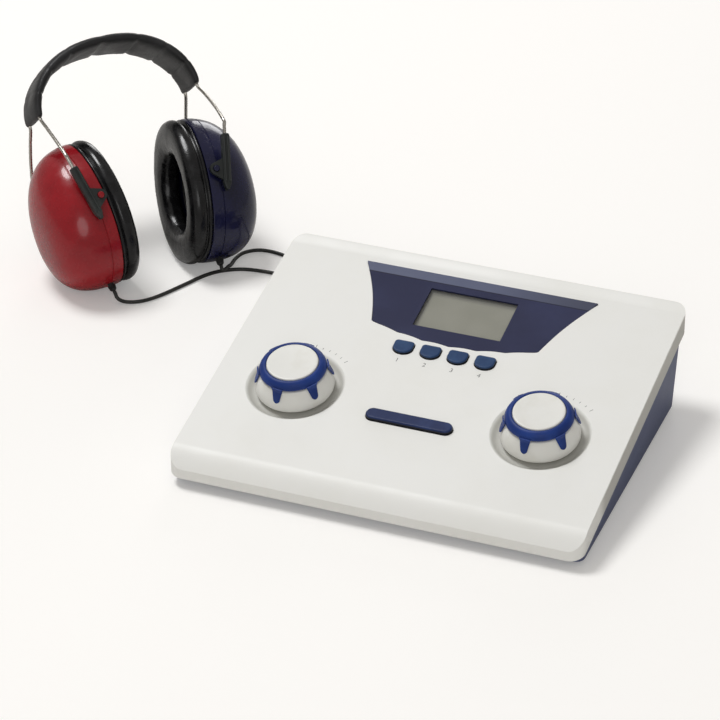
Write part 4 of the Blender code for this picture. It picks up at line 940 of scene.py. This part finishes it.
def cover_block(inset, skirt, corner, corner_steps, brow, brow_steps):
    shape = block((2 * (half_width - inset), 2 * (half_depth - inset), skirt))
    upright = [edge for edge in shape.edges if abs(edge.verts[0].co.z - edge.verts[1].co.z) > skirt / 2]
    bevelled(shape, upright, corner, corner_steps)
    lines = [-half_depth + nose_length * (0.03 + 0.97 * i / 11) for i in range(12)]
    lines += [half_depth - roll_length * (1 - i / 8) for i in range(8)]
    for y in lines:
        if abs(y) < half_depth - inset - gap:
            score(shape, y)
    for vert in shape.verts:
        y = vert.co.y
        vert.co.z = cover_height(y, inset) if vert.co.z > 0 else top_height(y) - skirt
    middles = {face: face.calc_center_median() for face in shape.faces}
    below = [face for face, middle in middles.items() if middle.z < top_height(middle.y) - 0.95 * skirt]
    bmesh.ops.delete(shape, geom=below, context="FACES_ONLY")
    shape.normal_update()
    brows = [edge for edge in shape.edges if len(edge.link_faces) == 2
             and sum(abs(face.normal.z) < 0.2 for face in edge.link_faces) == 1]
    return moved(cleaned(bevelled(shape, brows, brow, brow_steps)), Matrix.Translation(MIDDLE))


# %% Outlines on the sloped face
window_width, window_height, window_centre = mm(57, 35, 167.3)
button_pitch, button_row, tone_row, dial_row = mm(17.6, 127.7, 67.1, 79.6)
dial_places = {"level": -78.4 * MM, "frequency": 78.4 * MM}
button_places = [button_pitch * (i - 1.5) for i in range(4)]


def bezel_outline(grow=0.0):
    """A trapezium with sides that curve in, and a lower edge that dips over the keys in four bows."""
    low, high, bottom_half, top_half, waist, dip_depth, bow_height = mm(146.6, 197.3, 54, 76, 2, 10, 1)
    high += grow
    right = []
    for i in range(25):
        share = i / 24
        half = bottom_half + (top_half - bottom_half) * share - waist * math.sin(math.pi * share) + grow
        right.append((half, low + (high - low) * share))
    dip = []
    for i in range(1, 96):
        x = (bottom_half + grow) * (2 * i / 96 - 1)
        share = abs(x) / (bottom_half + grow)
        bow = bow_height * abs(math.sin(math.pi * x / button_pitch)) * (1 - share ** 4)
        dip.append((x, low - max(0.0, dip_depth * (1 - share ** 2) - bow) - grow))
    return right + [(-x, y) for x, y in reversed(right)] + dip


def key_outline(grow=0.0):
    """A D on its back: flat side up the slope, round side to the user."""
    half, flat, corner, start = mm(6.25, 5.3, 2, -0.175)
    half, flat = half + grow, flat + grow
    round_side = [(half * math.cos(angle), start - (flat + start) * math.sin(angle))
                  for angle in [math.pi * i / 40 for i in range(41)]]
    return (arc((half - corner, flat - corner), corner, 0, math.pi / 2, 8)
            + arc((corner - half, flat - corner), corner, math.pi / 2, math.pi, 8)
            + [(-x, y) for x, y in round_side])


def pill(half_length, radius):
    straight = half_length - radius
    return (arc((straight, 0), radius, -math.pi / 2, math.pi / 2, 20)
            + arc((-straight, 0), radius, math.pi / 2, 1.5 * math.pi, 20))


def lipped(outline_of, bottom, lip=0.35 * MM, top=3 * MM):
    """A cutter whose mouth widens over a fraction of a millimetre, so that the hole has a soft lip."""
    levels = [(0.0, bottom), (0.0, -lip), (0.1 * lip, -0.6 * lip), (0.35 * lip, -0.25 * lip),
              (lip, 0.04 * lip), (lip, top)]
    return lofted([[Vector((x, y, z)) for x, y in outline_of(grow)] for grow, z in levels])


def on_face(shape, x=0.0, y=0.0):
    return moved(shape, FACE @ Matrix.Translation((x, y, 0)))


def even_normals(obj):
    """Lets large flat faces rule the shading, so that no gradient runs over them."""
    even = obj.modifiers.new("even", "WEIGHTED_NORMAL")
    even.keep_sharp = True
    return applied(obj)


print("Display frame:", len(bezel_outline()), "points round its outline")

# %% Fine cover
cover = new_object("console_cover", cover_block(0, cover_skirt, corner_radius, 12, brow_radius, 6))
carve(cover, cover_block(cover_wall, cover_skirt + 2 * MM, corner_radius - cover_wall, 6, 1 * MM, 2))
boss = profile((0, -1.3), (33, -1.3), (33, -5), (0, -5))
carve(cover, *[on_face(turned(boss, 72), x, dial_row) for x in dial_places.values()], operation="UNION")
dish = profile((0, 3), (31.6, 3), (31.0, 0.1), (30.4, -0.12), (29.8, -0.6), (29.0, -1.4), (28.0, -2.3),
               (27.0, -2.95), (26.0, -3.3), (25.0, -3.4), (3.65, -3.4), (3.65, -8), (0, -8))
cutters = [on_face(lipped(lambda grow: bezel_outline(gap + grow), -1.65 * MM, 0.25 * MM)),
           on_face(block(mm(62.4, 40.4, 10.4)), 0, window_centre)]
cutters += [on_face(lipped(lambda grow: key_outline(0.35 * MM + grow), -8 * MM), x, button_row)
            for x in button_places]
cutters.append(on_face(lipped(lambda grow: pill(27.75 * MM + grow, 4.8 * MM + grow), -8 * MM), 0, tone_row))
cutters += [on_face(turned(dish, 128), x, dial_row) for x in dial_places.values()]
carve(cover, *cutters)
even_normals(finish(cover, white, "console", "top_cover", 30))
print("Cover:", len(cover.data.polygons), "faces")

# %% [markdown]
# The display frame is a thin navy plate in the cover's pocket. Its upper strip rises a little and so
# catches the light, and its colour also carries a painted highlight, lightest at the left, with painted
# shade in the crease at its foot. Under its window lie a clear pane and the grey-green display, whose
# left and top edges carry a painted shadow.

# %% Display looks
navy = Finish("bezel_navy", (40, 43, 72), 0.4, **{"Specular IOR Level": 0.2})
up_slope = along_face(navy, 1)
strip = up_slope.step(190.6 * MM, 191 * MM)
# Painted shade: a dark line in the crease at the foot of the raised strip.
painted_crease_shade = strip - up_slope.step(189.9 * MM, 190.4 * MM)
navy_grain = navy.noise(1700, 2)
plate_colour = navy.tint(navy.noise(22, 4).step(0.35, 0.75), (38, 41, 70), (46, 50, 82))
# Painted highlight: the raised strip is painted lighter, most at the left, where the light falls on it.
painted_strip_highlight = navy.tint(along_face(navy, 0).step(0, 72 * MM) * 0.7, (72, 79, 108), (44, 47, 66))
plate_colour = navy.tint(strip, plate_colour, painted_strip_highlight)
navy.set({"Base Color": navy.tint(painted_crease_shade.size() * 0.7, plate_colour, (16, 17, 32)),
          "Roughness": navy_grain * 0.16 + navy.noise(25, 4).step(0.4, 0.8) * 0.12 + 0.32})
navy.bump(navy_grain, 0.04 * MM, 0.3)
pane = Finish("display_pane", (245, 247, 245), 0.1, Alpha=0.06, **{"Specular IOR Level": 0.3})
pane.set({"Roughness": pane.noise(30, 4) * 0.08 + 0.06})
lcd = Finish("display_grey", (124, 123, 108), 0.42, **{"Specular IOR Level": 0.2})
glass = lcd.tint(lcd.noise(35, 3).step(0.35, 0.7), (124, 123, 108), (132, 131, 117))
# Painted shadow: the display darkens along the window's left and top edges, as if the window's wall shades
# it.
left_painted_shadow = (along_face(lcd, 0) * -1.0 - window_width / 2 + 3.4 * MM).step(0, 2.8 * MM)
top_painted_shadow = (along_face(lcd, 1) - window_centre - window_height / 2 + 4.6 * MM).step(0, 3.6 * MM)
lcd.set({"Base Color": lcd.tint(left_painted_shadow.larger(top_painted_shadow) * 0.75, glass, (78, 76, 66)),
         "Roughness": lcd.noise(500, 2) * 0.1 + 0.36})
print("Looks of the display ready")

# %% Display frame, pane and display
bezel = extruded(bezel_outline(), -1.35 * MM, -0.25 * MM)
strip_line, strip_slope, top_level = 190.5 * MM, 1.3 / 7.2, -0.8 * MM
score(bezel, strip_line)
for vert in bezel.verts:
    if vert.co.z > top_level and vert.co.y > strip_line:
        vert.co.z += strip_slope * (vert.co.y - strip_line)
bezel_object = new_object("display_frame", bezel)
carve(bezel_object, block((window_width, window_height, 6 * MM), (0, window_centre, 0)))
eased = bmesh.new()
eased.from_mesh(bezel_object.data)
round_edges(eased, 0.28 * MM, 3, 50 * DEG, lambda edge: all(vert.co.z > top_level for vert in edge.verts))
on_face(eased).to_mesh(bezel_object.data)
eased.free()
even_normals(finish(bezel_object, navy, "console", "display_bezel", 30))
pane_block = block(mm(61.8, 39.8, 1), mm(0, 0, -2.15))
finish(new_object("display_pane", on_face(pane_block, 0, window_centre)), pane, "console",
       "display_lens", 30)
module = round_edges(block(mm(68, 46, 10.4), (0, 0, -8.3 * MM)), 0.4 * MM, 2)
module_object = new_object("display_module", on_face(module, 0, window_centre))
even_normals(finish(module_object, lcd, "console", "lcd_module", 30))
print("Display made")

# %% [markdown]
# Keys and the tone bar are hard blue caps. Each is its outline, raised and rounded, with the flange below
# the cover that keeps it in. They ride on their own bodies, so a press moves them.

# %% Key plastic
def key_look(name, painted_side_shade, top_colour, worn_colour, top):
    """Blue plastic with painted shade down the sides, which are darker than the top."""
    look = Finish(name, top_colour, 0.34, **{"Specular IOR Level": 0.25})
    grain = look.noise(1300, 2)
    colour = look.tint(look.noise(120, 3).step(0.4, 0.75), top_colour, worn_colour)
    # Painted shade: below the top, the sides take the darker colour.
    colour = look.tint(along_face(look, 2).step(top - 1.2 * MM, top - 0.5 * MM), painted_side_shade, colour)
    look.set({"Base Color": colour, "Roughness": grain * 0.16 + 0.3})
    look.bump(grain, 0.03 * MM, 0.3)
    return look


key_height, bar_height = mm(2, 2.6)
key_blue = key_look("button_blue", (12, 20, 34), (32, 60, 100), (42, 72, 112), key_height)
bar_blue = key_look("bar_navy", (8, 10, 24), (28, 42, 84), (38, 54, 98), bar_height)
print("Key plastics:", key_blue.material.name, bar_blue.material.name)


# %% Keys and tone bar
def cap_on_flange(name, outline_of, height, edge_radius, x, y):
    """A rounded cap on its wider flange, as stacked levels of the same outline."""
    flange_top = -2.9 * MM
    levels = [(1 * MM, flange_top - 1 * MM), (1 * MM, flange_top), (0.0, flange_top),
              (0.0, height - edge_radius)]
    for i in range(1, 7):
        angle = math.pi / 2 * i / 6
        levels.append((edge_radius * (math.cos(angle) - 1), height - edge_radius * (1 - math.sin(angle))))
    rings = [[Vector((px, py, z)) for px, py in outline_of(grow)] for grow, z in levels]
    return new_object(name, on_face(lofted(rings), x, y))


for i, x in enumerate(button_places, 1):
    key = cap_on_flange(f"key_{i}", key_outline, key_height, 0.8 * MM, x, button_row)
    even_normals(finish(key, key_blue, f"function_button_{i}", f"function_button_{i}", 35))
tone = cap_on_flange("tone_key", lambda grow: pill(27.4 * MM + grow, 4.45 * MM + grow), bar_height, 1.1 * MM,
                     0, tone_row)
even_normals(finish(tone, bar_blue, "tone_bar", "tone_bar", 35))
print("Four keys and the tone bar made")

# %% [markdown]
# A dial is a white body that flares toward the panel, a white disc, and between them a blue rubber ring
# with six tongues that reach down the flank for the fingers. The ring and the flank are turned profiles, and
# the tongues are lofts that keep a quarter millimetre off the flank.

# %% Dial looks
dial_white = Finish("dial_white", (232, 232, 227), 0.34)
dial_haze = dial_white.noise(60, 4)
dial_white.set({"Roughness": dial_haze.step(0.3, 0.75) * 0.12 + 0.3,
                "Base Color": dial_white.tint(dial_haze.step(0.45, 0.8), (233, 233, 228), (224, 223, 215))})
dial_white.bump(dial_white.noise(1500, 2), 0.03 * MM, 0.2)
grip = plain_look("dial_blue", (26, 52, 120), ((24, 50, 116), (32, 62, 134)), (70, 3, 0.4, 0.8, 1.0),
                  (1900, 3), (0.2, 0.34), (0.06, 0.4), **{"Specular IOR Level": 0.25})
print("Looks of the dials ready")


# %% Dials
dial_foot, dial_waist, ring_foot, tongues, tongue_turn = 24.0, 3.4, 12.2, 6, -5.5 * DEG


def flank(height):
    """Radius of a dial's white body."""
    return (dial_foot - dial_waist * min(1.0, max(0.0, height / (ring_foot * MM))) ** 1.7) * MM


def tongue(angle):
    """One tongue of the ring, from inside the ring down the flank to a round tip."""
    rings = []
    top, foot, round_end = mm(14.6, 5.4, 1.7)
    for i in range(21):
        height = top + (foot - top) * (1 - (1 - i / 20) ** 1.6)
        down = (top - height) / (top - foot)
        half = (3.9 - 2.0 * down ** 0.8) * MM
        if height < foot + round_end:
            half *= math.sqrt(max(0.02, 1 - ((foot + round_end - height) / round_end) ** 2))
        inside = flank(height) + 0.25 * MM
        middle, thick = inside + 0.5 * MM, 0.5 * MM * min(1.0, half / MM + 0.3)
        ring = []
        for k in range(20):
            turn = 2 * math.pi * (k + 0.5) / 20
            across = half * math.copysign(abs(math.cos(turn)) ** 0.6, math.cos(turn))
            out = middle + thick * math.copysign(abs(math.sin(turn)) ** 0.75, math.sin(turn))
            ring.append(Vector((out - across ** 2 / (2.4 * inside), across, height)))
        rings.append(ring)
    return moved(lofted(rings), Matrix.Rotation(angle, 4, "Z"))


flank_heights = [ring_foot * (1 - i / 24) for i in range(1, 25)]
body_line = [(0, 16.2), (16.0, 16.2), (16.2, 16.0), (16.2, ring_foot), (20.2, ring_foot), (20.5, 12.0)]
body_line += [(flank(height * MM) / MM, height) for height in flank_heights]
body_line += [(23.95, -0.5), (23.7, -0.95), (23.2, -1.25), (22.4, -1.4), (21.0, -2.0), (3.35, -2.0),
              (3.35, 12.5), (0, 12.5)]
disc_line = [(0, 18.25), (6, 18.3), (11, 18.42), (14.0, 18.6), (14.9, 18.68), (15.4, 18.55), (15.7, 18.2),
             (15.8, 17.7), (15.8, 16.5), (0, 16.5)]
grip_line = [(16.2, 17.9), (16.5, 18.15), (17.1, 18.2), (18.1, 17.9), (19.0, 17.2), (19.7, 16.4),
             (20.3, 15.4), (20.7, 14.4), (20.7, 13.9), (20.4, 13.4), (19.9, 13.1), (19.6, 12.5),
             (16.2, 12.5)]
for dial, x in dial_places.items():
    for piece, line, look, node, slot in (("body", body_line, dial_white, "knob", "dial_white"),
                                          ("disc", disc_line, dial_white, "knob_cap", "dial_white"),
                                          ("ring", grip_line, grip, "grip_ring", "dial_blue")):
        shape = turned(profile(*line), 128)
        if piece == "ring":
            joined(shape, *[tongue(360 * DEG / tongues * (i + 0.5) + tongue_turn) for i in range(tongues)])
        made = new_object(f"{dial}_dial_{piece}", on_face(shape, x, dial_row))
        finish(made, look, f"{dial}_dial", f"{dial}_{node}", 40)
    print(dial, "dial made")

# %% [markdown]
# The rest of the hardware keeps its CAD shape: the tray, feet, sockets, screws, shafts, board and switches.
# A small bevel eases each edge, and each gets a finish of its own.

# %% Looks of the remaining hardware
tray = Finish("base_blue_grey", (84, 92, 124), 0.5)
tray_grain = tray.noise(2000, 2)
tray.set({"Roughness": tray_grain * 0.12 + tray.noise(20, 4).step(0.4, 0.8) * 0.12 + 0.38,
          "Base Color": tray.tint(tray.noise(18, 4).step(0.4, 0.8), (84, 92, 124), (76, 83, 112))})
tray.bump(tray_grain, 0.06 * MM, 0.3)
rubber = plain_look("foot_rubber", (34, 34, 34), ((30, 30, 30), (62, 60, 58)), (900, 3, 0.4, 0.8, 1.0),
                    (900, 3), (0.2, 0.62), (0.1, 0.5))
board = Finish("board_green", (24, 92, 58), 0.38)
tracks = board.node("ShaderNodeTexBrick", Vector=board.place, Scale=260.0)[1]
board.set({"Base Color": board.tint(tracks, (20, 84, 52), (34, 110, 70)),
           "Roughness": board.noise(300, 2) * 0.1 + 0.32})
print("Looks of the hardware ready")

# %% Dress the CAD hardware
hardware = [
    (tray, "base_blue_grey", ["base_tray"]),
    (board, "board_green", ["main_board"]),
    (black_moulding, "part_black", ["tone_switch", "level_encoder", "frequency_encoder", "power_socket",
                                    "right_phone_socket", "left_phone_socket", "response_socket"]),
    (steel, "shaft_steel", ["level_shaft", "frequency_shaft"] + [f"case_screw_{i}" for i in range(1, 5)]),
    (rubber, "foot_rubber", [f"foot_{i}" for i in range(1, 5)]),
]
for look, slot, nodes in hardware:
    for node in nodes:
        obj = frame["nodes"][node]
        obj.data.materials.clear()
        obj.data.materials.append(look.material)
        edges = obj.modifiers.new("eased", "BEVEL")
        edges.width, edges.segments, edges.limit_method, edges.angle_limit = 0.25 * MM, 2, "ANGLE", 40 * DEG
        edges.harden_normals = True
print("CAD nodes dressed:", sum(len(nodes) for _, _, nodes in hardware))

# %% [markdown]
# The real labels stay off. Plain numbers stand under the keys and a fan of fine ticks above each dial, as
# flat meshes a fiftieth of a millimetre proud of the face. The numbers come from a text curve.

# %% Printed marks
ink = plain_look("print_grey", (112, 112, 110), ((104, 104, 102), (128, 128, 125)), (700, 3, 0.4, 0.7, 1.0),
                 (900, 2), (0.2, 0.5))
number_height, number_drop, tick_radius, tick_step = *mm(4.6, 12.2, 34), -8 * DEG
for i, x in enumerate(button_places, 1):
    digit = bpy.data.curves.new("number", "FONT")
    digit.body, digit.size, digit.extrude, digit.align_x = str(i), number_height, 0.02 * MM, "CENTER"
    shape = on_face(drawn_shape("number", digit), x, button_row - number_drop)
    finish(new_object(f"number_{i}", shape), ink, "console", smooth=30)
for dial, x in dial_places.items():
    ticks = bmesh.new()
    for i in range(-5, 6):
        length = 2.6 * MM if i % 5 == 0 else 1.6 * MM
        tick = block((0.32 * MM, length, 0.04 * MM), (0, tick_radius + length / 2, 0))
        joined(ticks, moved(tick, Matrix.Rotation(tick_step * i, 4, "Z")))
    finish(new_object(f"{dial}_ticks", on_face(ticks, x, dial_row)), ink, "console", smooth=30)
print("Numbers and ticks printed")
